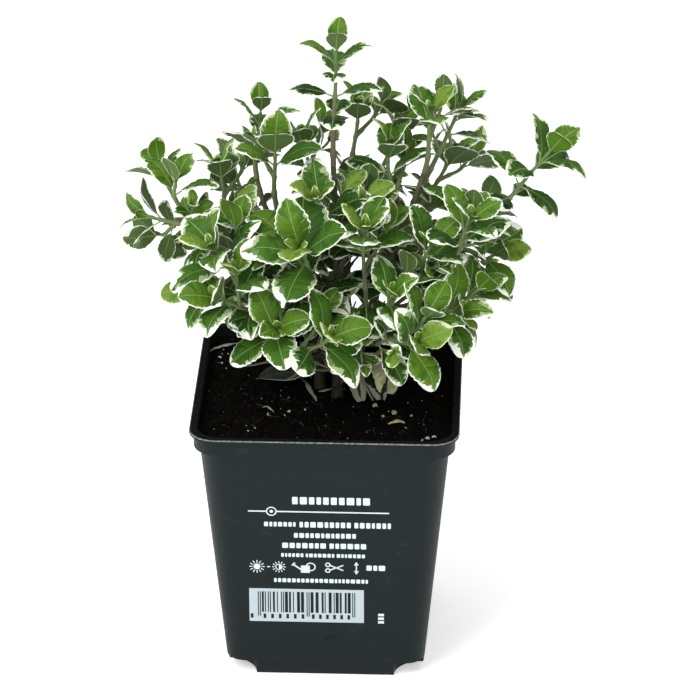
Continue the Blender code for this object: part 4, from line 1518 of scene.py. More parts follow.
    def tones(self) -> np.ndarray:
        """Colour the blade.

        Returns:
            The tone of each face, by station and by place round the ring.
        """
        form, chance, is_vein = self.form, self.chance, self.is_vein
        colours = LEAF_COLOURS[self.leaf.age]
        green, patch, margin, under = colours.green, colours.patch, colours.margin, colours.under
        top = [margin, patch, green, green, Tone.RIB, green, green, patch, margin]
        tones = np.tile(np.array([*top, margin, under, Tone.RIB, under, margin], int), (len(is_vein) + 1, 1))
        if self.leaf.age in OLD_AGES:
            tones[:, self.ribs] = (colours.vein, under)
        starts = np.concatenate(([0.0], self.stations))
        feather = Tone.FEATHER if margin is Tone.CREAM else patch
        for (strip, inward), cream_from in zip(self.margins, self.cream_from):
            for row, start in enumerate(starts):
                if row == 0 or chance.random() < form.patch_change:
                    edging = chance.choice((feather, feather, patch, colours.shade, green))
                tones[row, strip] = edging
                if start > cream_from:
                    tones[row, strip] = margin
                    tones[row, inward] = patch
        between = np.cumsum(np.concatenate(([False], is_vein)))
        for strip in self.greens:
            shaded = np.array([chance.random() < form.shade for _ in range(between[-1] + 1)])[between]
            tones[shaded & (tones[:, strip] == int(green)), strip] = int(colours.shade)
        close = np.diff(self.stations) < 3 * form.vein_half
        veined = np.nonzero(is_vein[:-1] & is_vein[1:] & close)[0] + 1
        for strip in self.veined:
            on_green = np.isin(tones[veined, strip], (int(green), int(colours.shade)))
            tones[veined[on_green], strip] = int(colours.vein)
        return tones


@dataclass(frozen=True)
class Skin:
    """How twigs are drawn: their sides, ring spacing, nodes, and where their skin turns brown."""

    sides: int = 7
    step: float = 1.1
    girth: float = 1.3
    swelling: float = 0.38
    swelling_half: float = 0.7
    green_run: float = 13.0
    olive_run: float = 24.0
    tip_bulge: float = 0.6
    sharp: float = 60.0

    def swollen(self, radii: np.ndarray, drops: np.ndarray, nodes: list[float]) -> np.ndarray:
        """Make radii swell where pairs of leaves stand.

        Args:
            radii: The radius at each point of a path.
            drops: The distance of each point from the path's tip.
            nodes: The distance of each pair from the tip.

        Returns:
            The new radii.
        """
        swell = np.zeros(len(radii))
        for node in nodes:
            swell = np.maximum(swell, np.exp(-(((drops - node) / self.swelling_half) ** 2)))
        return radii * (1.0 + self.swelling * swell)

    def add(self, twig: Twig, mesh: JoinedMesh) -> None:
        """Add one twig to a joined mesh.

        Args:
            twig: The twig.
            mesh: The mesh.
        """
        points, radii, drops = smooth_path(twig.path, self.step)
        radii = self.swollen(radii, drops, twig.drops) * self.girth
        rings = np.array(path_rings(points, radii, self.sides))
        ages = drops + twig.older
        bands = np.where(ages > self.olive_run, int(Tone.BROWN_STEM), int(Tone.OLIVE_STEM))
        bands = np.where(ages < self.green_run, int(Tone.GREEN_STEM), bands)
        tones = np.repeat(np.concatenate((bands[:1], bands))[:, None], self.sides, axis=1)
        way = rings[-1].mean(0) - rings[-2].mean(0)
        way /= np.linalg.norm(way)
        mesh.loft(rings, rings[0].mean(0), rings[-1].mean(0) + way * radii[-1] * self.tip_bulge, tones)


class Graph:
    """A node tree with short ways to add nodes, to fill their inputs and to link them."""

    def __init__(self, tree: bpy.types.NodeTree) -> None:
        """Hold the tree."""
        self.tree = tree

    def fill(self, node: bpy.types.Node, inputs: Inputs) -> None:
        """Set or link a node's inputs.

        Args:
            node: The node.
            inputs: By name or number, each input's value, or the socket that it is linked to.
        """
        for name, value in inputs.items():
            if isinstance(value, Socket):
                self.tree.links.new(value, node.inputs[name])
            else:
                node.inputs[name].default_value = value

    def add(self, kind: str, inputs: Inputs | None = None, **settings: object) -> Sockets:
        """Add a node.

        Args:
            kind: Its type.
            inputs: Its inputs' values and sockets.
            settings: Its properties.

        Returns:
            Its outputs.
        """
        node = self.tree.nodes.new(kind)
        for name, value in settings.items():
            setattr(node, name, value)
        self.fill(node, inputs or {})
        return node.outputs

    def noise(self, place: Socket, scale: Value, detail: float, rough: float) -> Socket:
        """Return a noise at a place, of a scale, detail and roughness."""
        inputs = {"Vector": place, "Scale": scale, "Detail": detail, "Roughness": rough}
        return self.add("ShaderNodeTexNoise", inputs)[0]

    def ranged(self, value: Socket, start: Span, end: Span = (0.0, 1.0)) -> Socket:
        """Return a value brought from one range to another."""
        limits = {"From Min": start[0], "From Max": start[1], "To Min": end[0], "To Max": end[1]}
        return self.add("ShaderNodeMapRange", {"Value": value} | limits)[0]

    def ramp(self, value: Socket, stops: dict[float, Spot]) -> Socket:
        """Colour a value by a ramp.

        Args:
            value: The value.
            stops: The colour at each of two values.

        Returns:
            The colour.
        """
        node = self.tree.nodes.new("ShaderNodeValToRGB")
        for element, (place, colour) in zip(node.color_ramp.elements, stops.items()):
            element.position = place
            element.color = (*colour, 1.0)
        self.fill(node, {"Fac": value})
        return node.outputs["Color"]


class Effects:
    """Node groups that several finishes use, each built once."""

    # How many times finer the grain's fine noise is, how scuffs are turned and stretched, and their dust
    fineness: float = 5.3
    scuff_turn: Spot = (0.5, 0.7, 0.4)
    scuff_stretch: Spot = (1.0, 3.2, 2.2)
    dust_scale: float = 900.0

    def __init__(self) -> None:
        """Build the groups."""
        self.grain = self.build_grain()
        self.scuffs = self.build_scuffs()

    @staticmethod
    def started(name: str, result: str, inputs: dict[str, float]) -> tuple[Graph, Sockets]:
        """Start a group that puts out one value.

        Args:
            name: The group's name.
            result: The name of its output.
            inputs: Its inputs' names and usual values.

        Returns:
            Its graph, and the sockets at which its inputs arrive.
        """
        tree = bpy.data.node_groups.new(name, "ShaderNodeTree")
        for label, value in inputs.items():
            socket = tree.interface.new_socket(name=label, in_out="INPUT", socket_type="NodeSocketFloat")
            socket.default_value = value
        tree.interface.new_socket(name=result, in_out="OUTPUT", socket_type="NodeSocketFloat")
        graph = Graph(tree)
        return graph, graph.add("NodeGroupInput")

    def build_grain(self) -> bpy.types.NodeTree:
        """Build the grain: a coarse and a fine noise, with how much of the fine one is mixed in.

        Returns:
            The group.
        """
        graph, given = self.started("grain", "Grain", {"Scale": 300.0, "Fine Share": 0.5})
        place = graph.add("ShaderNodeTexCoord")["Object"]
        finer = graph.add("ShaderNodeMath", {0: given["Scale"], 1: self.fineness}, operation="MULTIPLY")[0]
        coarse = graph.noise(place, given["Scale"], detail=4.0, rough=0.6)
        fine = graph.noise(place, finer, detail=6.0, rough=0.7)
        shares = {0: given["Fine Share"], 2: coarse, 3: fine}
        mixed = graph.add("ShaderNodeMix", shares, data_type="FLOAT")[0]
        graph.add("NodeGroupOutput", {"Grain": mixed})
        return graph.tree

    def build_scuffs(self) -> bpy.types.NodeTree:
        """Build scuffs: thin stretched streaks of rubbing, and specks of dust.

        Returns:
            The group.
        """
        graph, given = self.started("scuffs", "Scuff", {"Scale": 60.0, "Amount": 0.5})
        place = graph.add("ShaderNodeTexCoord")["Object"]
        stretch = {"Vector": place, "Rotation": self.scuff_turn, "Scale": self.scuff_stretch}
        rubbing = {"Scale": given["Scale"], "Detail": 5.0, "Roughness": 0.65, "Distortion": 0.8}
        rubbing["Vector"] = graph.add("ShaderNodeMapping", stretch)[0]
        streaks = graph.ranged(graph.add("ShaderNodeTexNoise", rubbing)[0], (0.6, 0.85))
        dust = graph.noise(place, self.dust_scale, detail=2.0, rough=0.5)
        specks = graph.ranged(dust, (0.7, 0.78))
        both = graph.add("ShaderNodeMath", {0: streaks, 1: specks}, operation="MAXIMUM")[0]
        shown = graph.add("ShaderNodeMath", {0: both, 1: given["Amount"]}, operation="MULTIPLY")[0]
        graph.add("NodeGroupOutput", {"Scuff": shown})
        return graph.tree


@dataclass(frozen=True)
class Finish:
    """A finish of one colour whose fine relief comes from the grain."""

    name: str
    colour: Spot
    roughness: float
    grain_scale: float = 2600.0
    relief: float = 0.25
    gloss: float = 0.17
    # The height of the grain's relief, in metres
    relief_height: float = 0.0001

    def build(self, effects: Effects) -> bpy.types.Material:
        """Make the material.

        Args:
            effects: The shared node groups.

        Returns:
            The material.
        """
        material = bpy.data.materials.new(self.name)
        material.use_nodes = True
        graph = Graph(material.node_tree)
        fineness = {"Scale": self.grain_scale}
        grain = graph.add("ShaderNodeGroup", fineness, node_tree=effects.grain)["Grain"]
        bump = {"Strength": self.relief, "Distance": self.relief_height, "Height": grain}
        surface = {"Base Color": (*self.colour, 1.0), "Roughness": self.roughness}
        surface["Specular IOR Level"] = self.gloss
        surface["Normal"] = graph.add("ShaderNodeBump", bump)["Normal"]
        shader = material.node_tree.nodes["Principled BSDF"]
        graph.fill(shader, surface)
        graph.fill(shader, self.varied(graph, grain, effects))
        return material

    def varied(self, graph: Graph, grain: Socket, effects: Effects) -> Inputs:
        """Return the shader's inputs that vary over the surface: none in a plain finish."""
        return {}


@dataclass(frozen=True)
class MottledFinish(Finish):
    """A finish whose colour wanders between two values with the grain."""

    other: Spot = (0.5, 0.5, 0.5)
    spread: float = 0.12

    def varied(self, graph: Graph, grain: Socket, effects: Effects) -> Inputs:
        """Return the colour, which follows the grain."""
        stops = {0.5 - self.spread: self.colour, 0.5 + self.spread: self.other}
        return {"Base Color": graph.ramp(grain, stops)}


@dataclass(frozen=True)
class PlasticFinish(Finish):
    """Moulded plastic: satin, with scuffs that are paler, and a gloss that the grain breaks up."""

    scuffed: Spot = (0.045, 0.056, 0.058)
    scuff_scale: float = 90.0
    scuff_amount: float = 0.4
    smoother: float = 0.06
    rougher: float = 0.1

    def varied(self, graph: Graph, grain: Socket, effects: Effects) -> Inputs:
        """Let scuffs lighten the colour, and the roughness follow the grain.

        Args:
            graph: The material's graph.
            grain: The grain's value.
            effects: The shared node groups.

        Returns:
            The colour and the roughness.
        """
        shape = {"Scale": self.scuff_scale, "Amount": self.scuff_amount}
        scuffs = graph.add("ShaderNodeGroup", shape, node_tree=effects.scuffs)["Scuff"]
        colour = graph.ramp(scuffs, {0.0: self.colour, 1.0: self.scuffed})
        limits = (self.roughness - self.smoother, self.roughness + self.rougher)
        return {"Base Color": colour, "Roughness": graph.ranged(grain, (0.0, 1.0), limits)}


FINISHES = {
    Tone.CREAM: Finish("cream margin", (0.84, 0.88, 0.74), 0.5, 1500.0, 0.2),
    Tone.BUTTER: Finish("butter margin", (0.62, 0.70, 0.38), 0.5, 1500.0, 0.2),
    Tone.RIB: Finish("pale rib", (0.20, 0.31, 0.10), 0.5, 2500.0, 0.2),
    Tone.VEIN: Finish("leaf vein", (0.066, 0.150, 0.034), 0.5, 2500.0, 0.2),
    Tone.PATCH: Finish("grey green patch", (0.125, 0.215, 0.085), 0.5, 1500.0, 0.2),
    Tone.FEATHER: Finish("feathered edge", (0.33, 0.43, 0.21), 0.5, 1500.0, 0.2),
    Tone.UNDERSIDE: Finish("leaf underside", (0.088, 0.150, 0.042), 0.65, 1500.0, 0.35),
    Tone.DARKEST: Finish("darkest leaf green", (0.008, 0.028, 0.005), 0.42, 650.0, 0.5, 0.1),
    Tone.DEEP: Finish("old leaf green", (0.017, 0.057, 0.008), 0.42, 650.0, 0.5, 0.1),
    Tone.MATURE: Finish("mature leaf green", (0.031, 0.092, 0.010), 0.42, 650.0, 0.5, 0.1),
    Tone.LIVELY: Finish("lively leaf green", (0.050, 0.130, 0.012), 0.42, 650.0, 0.5, 0.1),
    Tone.FRESH: Finish("fresh leaf green", (0.082, 0.175, 0.015), 0.42, 650.0, 0.5, 0.1),
    Tone.YOUNG: Finish("young leaf green", (0.140, 0.238, 0.022), 0.48, 1500.0, 0.2),
    Tone.STRAW: Finish("straw leaf", (0.50, 0.45, 0.25), 0.7, 900.0, 0.5),
    Tone.UMBER: Finish("withered leaf", (0.060, 0.048, 0.030), 0.8, 900.0, 0.7),
    Tone.DULL: Finish("dull leaf", (0.020, 0.032, 0.018), 0.6, 900.0, 0.4),
    Tone.HUSK: Finish("pale husk", (0.34, 0.33, 0.26), 0.8, 700.0, 0.8),
    Tone.GREEN_STEM: Finish("green twig", (0.14, 0.20, 0.075), 0.55, 1800.0, 0.3),
    Tone.OLIVE_STEM: Finish("olive twig", (0.155, 0.180, 0.090), 0.6, 1800.0, 0.5),
    Tone.BROWN_STEM: Finish("brown twig", (0.125, 0.120, 0.075), 0.7, 1800.0, 0.7),
    # The darker bark near the soil: painted shade, partly the damp of the soil
    Tone.BARK: MottledFinish(
        "grey brown bark", (0.012, 0.011, 0.008), 0.85, 900.0, 0.9, 0.1, other=(0.062, 0.056, 0.042)
    ),
    Tone.YOUNG_BARK: MottledFinish(
        "young bark", (0.055, 0.054, 0.030), 0.75, 900.0, 0.8, 0.12, other=(0.165, 0.160, 0.105)
    ),
    Tone.SOIL: MottledFinish(
        "potting soil", (0.0008, 0.0008, 0.0007), 0.95, 500.0, 1.0, 0.06, other=(0.0046, 0.0040, 0.0034)
    ),
    Tone.DARK_CRUMB: Finish("dark crumb", (0.0018, 0.0017, 0.0015), 0.95, 1200.0, 0.8, 0.06),
    Tone.BROWN_CRUMB: Finish("brown crumb", (0.012, 0.0100, 0.0080), 0.95, 1200.0, 0.8, 0.06),
    Tone.PERLITE: Finish("perlite", (0.50, 0.50, 0.44), 0.9, 1500.0, 0.9),
    Tone.PLASTIC: PlasticFinish("slate grey plastic", (0.0068, 0.0118, 0.0124), 0.45, 1800.0, 0.25, 0.125),
    # A painted highlight along the lip's edge, speckled pale like dust
    Tone.WORN_EDGE: MottledFinish(
        "worn lip", (0.020, 0.027, 0.027), 0.55, 600.0, 0.3, 0.14, other=(0.36, 0.38, 0.36), spread=0.1
    ),
    # The faces in the pot's mouth, painted near black
    Tone.SOILED: MottledFinish(
        "soiled plastic", (0.0020, 0.0022, 0.0020), 0.8, 900.0, 0.5, 0.05, other=(0.0120, 0.0130, 0.0120)
    ),
    Tone.INK: Finish("pale print", (0.60, 0.70, 0.72), 0.5, 1500.0, 0.2),
    Tone.PANEL: Finish("pale panel", (0.43, 0.51, 0.54), 0.5, 1500.0, 0.2),
}


class PaintBox:
    """The materials, each made when a piece first needs it."""

    def __init__(self) -> None:
        """Build the shared effects."""
        self.effects = Effects()
        self.made: dict[Tone, bpy.types.Material] = {}

    def material(self, tone: Tone) -> bpy.types.Material:
        """Find a tone's material, or make it.

        Args:
            tone: The tone.

        Returns:
            The material.
        """
        if tone not in self.made:
            self.made[tone] = FINISHES[tone].build(self.effects)
        return self.made[tone]


class Workpiece:
    """An object that is modelled as by hand with Blender's operators, in metres."""

    def __init__(self, name: str, start: Callable, **options: object) -> None:
        """Add a primitive, with all else deselected, and apply its place to its mesh.

        Args:
            name: The piece's name.
            start: The operator that adds the primitive.
            options: The operator's settings.
        """
        if bpy.context.view_layer.objects.active:
            bpy.ops.object.mode_set(mode="OBJECT")
        bpy.ops.object.select_all(action="DESELECT")
        start(**options)
        self.piece = bpy.context.view_layer.objects.active
        self.piece.name = name
        self.piece.data.name = name
        bpy.ops.object.transform_apply(location=True, rotation=True, scale=True)

    def focus(self) -> None:
        """Select this piece alone and make it the active one."""
        bpy.ops.object.select_all(action="DESELECT")
        self.piece.select_set(True)
        bpy.context.view_layer.objects.active = self.piece

    @contextmanager
    def editing(self, kind: str) -> Iterator[None]:
        """Enter edit mode with nothing selected, and leave it afterwards.

        Args:
            kind: What is selected: "VERT", "EDGE" or "FACE".

        Returns:
            A context inside which the piece is in edit mode.
        """
        self.focus()
        bpy.ops.object.mode_set(mode="EDIT")
        bpy.ops.mesh.select_mode(type=kind)
        bpy.ops.mesh.select_all(action="DESELECT")
        yield
        bpy.ops.object.mode_set(mode="OBJECT")

    def pick(self, kind: str, wanted: Callable) -> None:
        """Select the parts that a test wants, in edit mode.

        Args:
            kind: Either "faces" or "edges".
            wanted: The test.
        """
        shape = bmesh.from_edit_mesh(self.piece.data)
        for item in getattr(shape, kind):
            item.select_set(bool(wanted(item)))
        bmesh.update_edit_mesh(self.piece.data)

    def round_uprights(self, height: float, radius: float, steps: int) -> None:
        """Bevel the edges that rise by more than a height, in edit mode.

        Args:
            height: The height, in metres.
            radius: The bevel's width, in millimetres.
            steps: How many faces make it round.
        """
        self.pick("edges", lambda edge: abs(edge.verts[0].co.z - edge.verts[1].co.z) > height)
        bpy.ops.mesh.bevel(offset=radius * MM, segments=steps, profile=0.5, affect="EDGES")

    def modify(self, kind: str, **settings: object) -> None:
        """Add a modifier and apply it.

        Args:
            kind: Its type.
            settings: Its settings.
        """
        self.focus()
        modifier = self.piece.modifiers.new(kind.lower(), kind)
        for name, value in settings.items():
            setattr(modifier, name, value)
        bpy.ops.object.modifier_apply(modifier=modifier.name)

    def smooth(self, angle: float) -> None:
        """Shade smooth, with edges sharp past an angle."""
        self.focus()
        bpy.ops.object.shade_smooth_by_angle(angle=math.radians(angle))

    def paint(self, *materials: bpy.types.Material) -> None:
        """Give the piece its materials, the first of them all over."""
        self.piece.data.materials.clear()
        for material in materials:
            self.piece.data.materials.append(material)


def settle(piece: bpy.types.Object, slot: Slot, *nodes: str) -> None:
    """Put a finished piece in its place in the model.

    Args:
        piece: The piece, which rides on the one body.
        slot: Its material slot, which is not used.
        nodes: The nodes that it replaces.
    """
    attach(piece, "root")
    if nodes:
        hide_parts(*nodes)
    LOG.info("%s: %d faces", piece.name, len(piece.data.polygons))


@dataclass
class Pot:
    """The square nursery pot; its widths are half widths of its plan."""

    height: float = 95.0
    foot_half: float = 33.4
    top_half: float = 42.3
    band_half: float = 43.6
    band_depth: float = 6.5
    lip_half: float = 45.0
    lip_depth: float = 1.2
    mouth_half: float = 42.4
    wall: float = 1.0
    shelf: float = 6.4
    floor: float = 1.2
    floor_half: float = 25.0
    corner: float = 6.6
    corner_steps: int = 8
    notch_radius: float = 10.0
    notch_height: float = 5.0
    notch_sides: int = 48
    drain_radius: float = 2.0
    drain_place: float = 28.0
    drain_sides: int = 24
    # How far a cutter runs past what it cuts
    overrun: float = 0.5
    edge: float = 0.35
    edge_angle: float = 40.0
    sharp: float = 30.0
    # The dimple that the moulding left on the front wall: place, radius and depth
    gate: Span = (1.6, 15.2)
    gate_radius: float = 1.5
    gate_depth: float = 0.6
    # How far a face has to look up to be the top of the foot, and up or outward to take the lip's
    # painted highlight, speckled like dust
    top_from: float = 0.9
    facing_from: float = 0.2

    @property
    def band_low(self) -> float:
        """The height of the band's lower edge."""
        return self.height - self.band_depth

    def half_at(self, height: float) -> float:
        """Return the half width of the tapered wall at a height, outside."""
        return self.foot_half + (self.top_half - self.foot_half) * height / self.height

    def profile(self) -> tuple[Span, ...]:
        """Find the turns of the wall, from the band round to the floor.

        Returns:
            The height and half width of each.
        """
        lip_low = self.height - self.lip_depth
        ledge = self.band_low + self.wall
        return (
            (self.band_low, self.half_at(self.band_low)),
            (self.band_low, self.band_half),
            (lip_low, self.band_half),
            (lip_low, self.lip_half),
            (self.height, self.lip_half),
            (self.height, self.mouth_half),
            (ledge, self.mouth_half),
            (ledge, self.half_at(ledge) - self.wall),
            (self.shelf, self.half_at(self.shelf) - self.wall),
            (self.shelf, self.floor_half),
            (self.floor, self.floor_half),
        )

    def build(self) -> Workpiece:
        """Model the pot: a rounded square foot, raised and widened turn by turn, then cut.

        Returns:
            Its workpiece.
        """
        size = 2.0 * self.foot_half * MM
        cube = bpy.ops.mesh.primitive_cube_add
        pot = Workpiece("nursery_pot", cube, size=size, location=(0.0, 0.0, 0.5 * size))
        with pot.editing("EDGE"):
            pot.round_uprights(0.5 * size, self.corner, self.corner_steps)
        with pot.editing("FACE"):
            pot.pick("faces", lambda face: face.normal.z > self.top_from)
            level, half = size, self.foot_half
            for turn, (height, wide) in enumerate(self.profile()):
                if turn:
                    bpy.ops.mesh.extrude_region_move(TRANSFORM_OT_translate={"value": (0.0, 0.0, 0.0)})
                bpy.ops.transform.translate(value=(0.0, 0.0, height * MM - level))
                share = wide / half
                bpy.ops.transform.resize(value=(share, share, 1.0), center_override=(0.0, 0.0, height * MM))
                level, half = height * MM, wide
        limit = {"limit_method": "ANGLE", "angle_limit": math.radians(self.edge_angle)}
        pot.modify("BEVEL", width=self.edge * MM, segments=2, **limit)
        for cutter in self.cutters():
            pot.modify("BOOLEAN", operation="DIFFERENCE", object=cutter.piece)
            bpy.data.objects.remove(cutter.piece)
        pot.smooth(self.sharp)
        return pot

    def cutters(self) -> list[Workpiece]:
        """Make what cuts the corner notches, their drain holes and the dimple of the moulding.

        Returns:
            The cutters.
        """
        cutters = []
        for x, y in CORNERS:
            drain_low = self.notch_height - self.overrun
            drain_high = self.shelf + self.overrun
            place, reach = self.foot_half, self.drain_place
            notch = (x * place, y * place, -self.overrun, self.notch_height)
            drain = (x * reach, y * reach, drain_low, drain_high)
            cutters.append(self.cylinder(self.notch_radius, self.notch_sides, notch))
            cutters.append(self.cylinder(self.drain_radius, self.drain_sides, drain))
        x, level = self.gate
        ball = {"radius": self.gate_radius * MM, "segments": 24, "ring_count": 12}
        ball["location"] = (x * MM, -self.half_at(level) * MM, level * MM)
        ball["scale"] = (1.0, self.gate_depth / self.gate_radius, 1.0)
        return cutters + [Workpiece("cutter", bpy.ops.mesh.primitive_uv_sphere_add, **ball)]

    @staticmethod
    def cylinder(radius: float, sides: int, place: tuple[float, float, float, float]) -> Workpiece:
        """Make an upright cylinder that serves as a cutter.

        Args:
            radius: Its radius.
            sides: How many sides it has.
            place: Its place across and along the pot, and the heights of its foot and its top.

        Returns:
            The cutter.
        """
        x, y, low, high = place
        size = {"radius": radius * MM, "depth": (high - low) * MM, "vertices": sides}
        middle = (x * MM, y * MM, 0.5 * (low + high) * MM)
        return Workpiece("cutter", bpy.ops.mesh.primitive_cylinder_add, location=middle, **size)

    def dress(self, paints: PaintBox) -> None:
        """Build the pot in place of its solid, with a painted highlight speckled like dust on the lip's edge
        and the faces in its mouth painted near black.

        Args:
            paints: The materials.
        """
        pot = self.build()
        pot.paint(*(paints.material(tone) for tone in (Tone.PLASTIC, Tone.WORN_EDGE, Tone.SOILED)))
        for face in pot.piece.data.polygons:
            if face.center.z < self.band_low * MM:
                continue
            outward = face.normal.dot(Vector((face.center.x, face.center.y, 0.0)).normalized())
            # Faces that look up and outward at the lip take its painted highlight, speckled pale like dust
            if outward > self.facing_from and face.normal.z > self.facing_from:
                face.material_index = 1
            # Faces above the band that look inward or straight up, the mouth's walls and the lip's top, are
            # painted near black
            elif outward < self.facing_from and face.normal.z > -self.facing_from:
                face.material_index = 2
        settle(pot.piece, Slot.PLASTIC, "pot")


@dataclass(frozen=True)
class Sign:
    """One plain sign of the print: its middle on the pot's front, and its parts from there."""

    x: float
    y: float
    # Left, right, foot, top and turn of each block
    blocks: tuple[tuple[float, ...], ...] = ()
    # Across, up, radius and width of each ring
    rings: tuple[tuple[float, ...], ...] = ()
    # Across, up, radius, number of sides and turn of each disc
    discs: tuple[tuple[float, ...], ...] = ()
    # The ends of a sun's rays, if it has any, and whether only its right half is filled
    rays: tuple[float, ...] = ()
    halved: bool = False


# The height of the row of signs, and the print's signs
SIGNS_LEVEL = 43.8
SIGNS = (
    # A ring with a dot, which sits on a rule
    Sign(
        -17.6, 66.1, ((-7.8, -1.6, -0.25, 0.25, 0), (1.6, 39.4, -0.25, 0.25, 0)),
        ((0, 0, 1.6, 0.42),), ((0, 0, 0.6, 24, 0),),
    ),
    # Three short bars one over the other
    Sign(19.1, 21.4, ((-1.0, 1.0, 0.0, 1.0, 0), (-1.0, 1.0, 1.5, 2.5, 0), (-1.0, 1.0, 3.0, 4.0, 0))),
    # A sun, a dash, and a sun with its right half filled
    Sign(-22.7, SIGNS_LEVEL, discs=((0, 0, 1.15, 24, 0),), rays=(1.5, 2.6)),
    Sign(-18.8, SIGNS_LEVEL, ((-0.5, 0.5, -0.2, 0.2, 0),)),
    Sign(-15.3, SIGNS_LEVEL, (), ((0, 0, 1.05, 0.3),), ((0, 0, 1.05, 24, 0),), (1.5, 2.3), halved=True),
    # A watering can: body, spout with its rose, and handle
    Sign(
        -6.5, SIGNS_LEVEL,
        ((-1.4, 1.6, -2.2, 0.7, 0), (-4.3, -0.7, -0.3, 0.25, -38), (-4.6, -3.2, 0.9, 1.5, 52)),
        ((1.9, 0.2, 1.5, 0.42),),
    ),
    # A pair of scissors: two crossed blades and two rings
    Sign(
        3.4, SIGNS_LEVEL, ((-1.9, 3.2, -0.22, 0.22, -24), (-1.9, 3.2, -0.22, 0.22, 24)),
        ((-2.2, -1.15, 0.72, 0.42), (-2.2, 1.15, 0.72, 0.42)),
    ),
    # An upright arrow with a head at each end
    Sign(
        10.8, SIGNS_LEVEL, ((-0.2, 0.2, -1.5, 1.5, 0),), (), ((0, 1.6, 0.95, 3, 0), (0, -1.6, 0.95, 3, 180))
    ),
)


@dataclass
class CarePrint:
    """The plain print on the pot's front: rules and bars for words, plain signs, and a bare bar panel."""

    pot: Pot
    ink: float = 0.06
    ink_lift: float = 0.01
    bar_lift: float = 0.035
    model_depth: float = 0.5
    # Each bar in place of a word is a row of plain tiles: their width and gap as shares of their height
    tile_width: Span = (0.5, 0.95)
    tile_gap: float = 0.24
    tile_corner: float = 0.3
    # Bars in place of words: left and right ends, foot and top
    words: tuple[tuple[float, float, float, float], ...] = (
        (-10.6, 15.4, 69.1, 72.0),
        (-20.1, -9.5, 60.1, 61.9),
        (-8.2, 9.0, 59.9, 62.1),
        (10.2, 22.4, 59.9, 62.1),
        (-10.1, 10.7, 55.7, 57.6),
        (-14.1, 0.6, 51.5, 53.6),
        (1.8, 14.1, 51.5, 53.6),
        (-14.5, -7.0, 47.9, 49.4),
        (-6.2, 3.4, 47.9, 49.4),
        (4.2, 13.7, 47.9, 49.4),
        (14.2, 20.5, 42.9, 45.0),
        (-17.0, 14.7, 37.6, 39.2),
    )
    # The number of a sun's rays and half their width
    ray_count: int = 12
    ray_half: float = 0.15
    panel: tuple[float, float, float, float] = (-25.5, 13.3, 21.5, 34.9)
    # The bars' place, the guard bars' foot and distance in steps, and a step, the thinnest bar's width
    bars: tuple[float, float, float, float] = (-22.6, 10.4, 25.3, 33.7)
    guard_foot: float = 23.7
    guard_pitch: float = 2.0
    bar_step: float = 0.34
    # Widths of bars and of gaps, in steps, as often as each is to come
    bar_widths: tuple[int, ...] = (1, 2, 2, 3, 3)
    bar_gaps: tuple[int, ...] = (1, 1, 1, 1, 2, 3)
    # Plain tiles under the bars: foot, top, width, number in each group, and the first one's inset
    figures: tuple[float, float, float, int, float] = (22.8, 24.6, 0.9, 6, 1.6)

    def tiles(self, word: tuple[float, ...]) -> list[tuple[float, ...]]:
        """Divide a word's place into plain tiles.

        Args:
            word: Its left and right ends, foot and top.

        Returns:
            The same of each tile.
        """
        left, right, low, high = word
        chance = random.Random(f"tiles {left}")
        gap = self.tile_gap * (high - low)
        marks = [left]
        while marks[-1] < right:
            marks.append(marks[-1] + gap + (high - low) * chance.uniform(*self.tile_width))
        share = (right + gap - left) / (marks[-1] - left)
        marks = [left + (mark - left) * share for mark in marks]
        return [(start, end - gap, low, high) for start, end in zip(marks, marks[1:])]

    def block(self, left: float, right: float, low: float, high: float, turn: float = 0.0) -> dict:
        """Describe a flat block on the ground plane, where Y is the height on the pot.

        Args:
            left: Its left end.
            right: Its right end.
            low: Its foot.
            high: Its top.
            turn: Its turn.

        Returns:
            The settings of the operator that adds it.
        """
        return {
            "size": 1.0,
            "location": (0.5 * (left + right) * MM, 0.5 * (low + high) * MM, 0.0),
            "rotation": (0.0, 0.0, math.radians(turn)),
            "scale": ((right - left) * MM, (high - low) * MM, self.model_depth * MM),
        }

    def add_sign(self, sign: Sign) -> None:
        """Add a sign to the mesh that is being edited.

        Args:
            sign: The sign.
        """
        x, y = sign.x, sign.y
        cube = bpy.ops.mesh.primitive_cube_add
        for across, up, radius, width in sign.rings:
            round_way = {"major_segments": 32, "minor_segments": 6, "minor_radius": 0.5 * width * MM}
            place = ((x + across) * MM, (y + up) * MM, 0.0)
            bpy.ops.mesh.primitive_torus_add(major_radius=radius * MM, location=place, **round_way)
        for across, up, radius, sides, turn in sign.discs:
            size = {"vertices": sides, "radius": radius * MM, "depth": self.model_depth * MM}
            place = ((x + across) * MM, (y + up) * MM, 0.0)
            about = (0.0, 0.0, math.radians(turn))
            bpy.ops.mesh.primitive_cylinder_add(location=place, rotation=about, **size)
        if sign.halved:
            cut = {"plane_co": (x * MM, 0.0, 0.0), "plane_no": (1.0, 0.0, 0.0)}
            bpy.ops.mesh.bisect(use_fill=True, clear_inner=True, **cut)
        for left, right, low, high, turn in sign.blocks:
            cube(**self.block(x + left, x + right, y + low, y + high, turn))
        for step in range(self.ray_count if sign.rays else 0):
            near, far = sign.rays
            turn = 360.0 * step / self.ray_count
            middle, half = 0.5 * (near + far), 0.5 * (far - near)
            across = x + middle * math.cos(math.radians(turn))
            up = y + middle * math.sin(math.radians(turn))
            cube(**self.block(across - half, across + half, up - self.ray_half, up + self.ray_half, turn))

    def build_signs(self) -> Workpiece:
        """Model all pale marks flat on the ground plane.

        Returns:
            Their workpiece.
        """
        tiles = [tile for word in self.words for tile in self.tiles(word)]
        cube = bpy.ops.mesh.primitive_cube_add
        signs = Workpiece("care_print", cube, **self.block(*tiles[0]))
        with signs.editing("EDGE"):
            for tile in tiles[1:]:
                cube(**self.block(*tile))
            signs.round_uprights(0.5 * self.model_depth * MM, self.tile_corner, 3)
        with signs.editing("VERT"):
            for sign in SIGNS:
                self.add_sign(sign)
        return signs

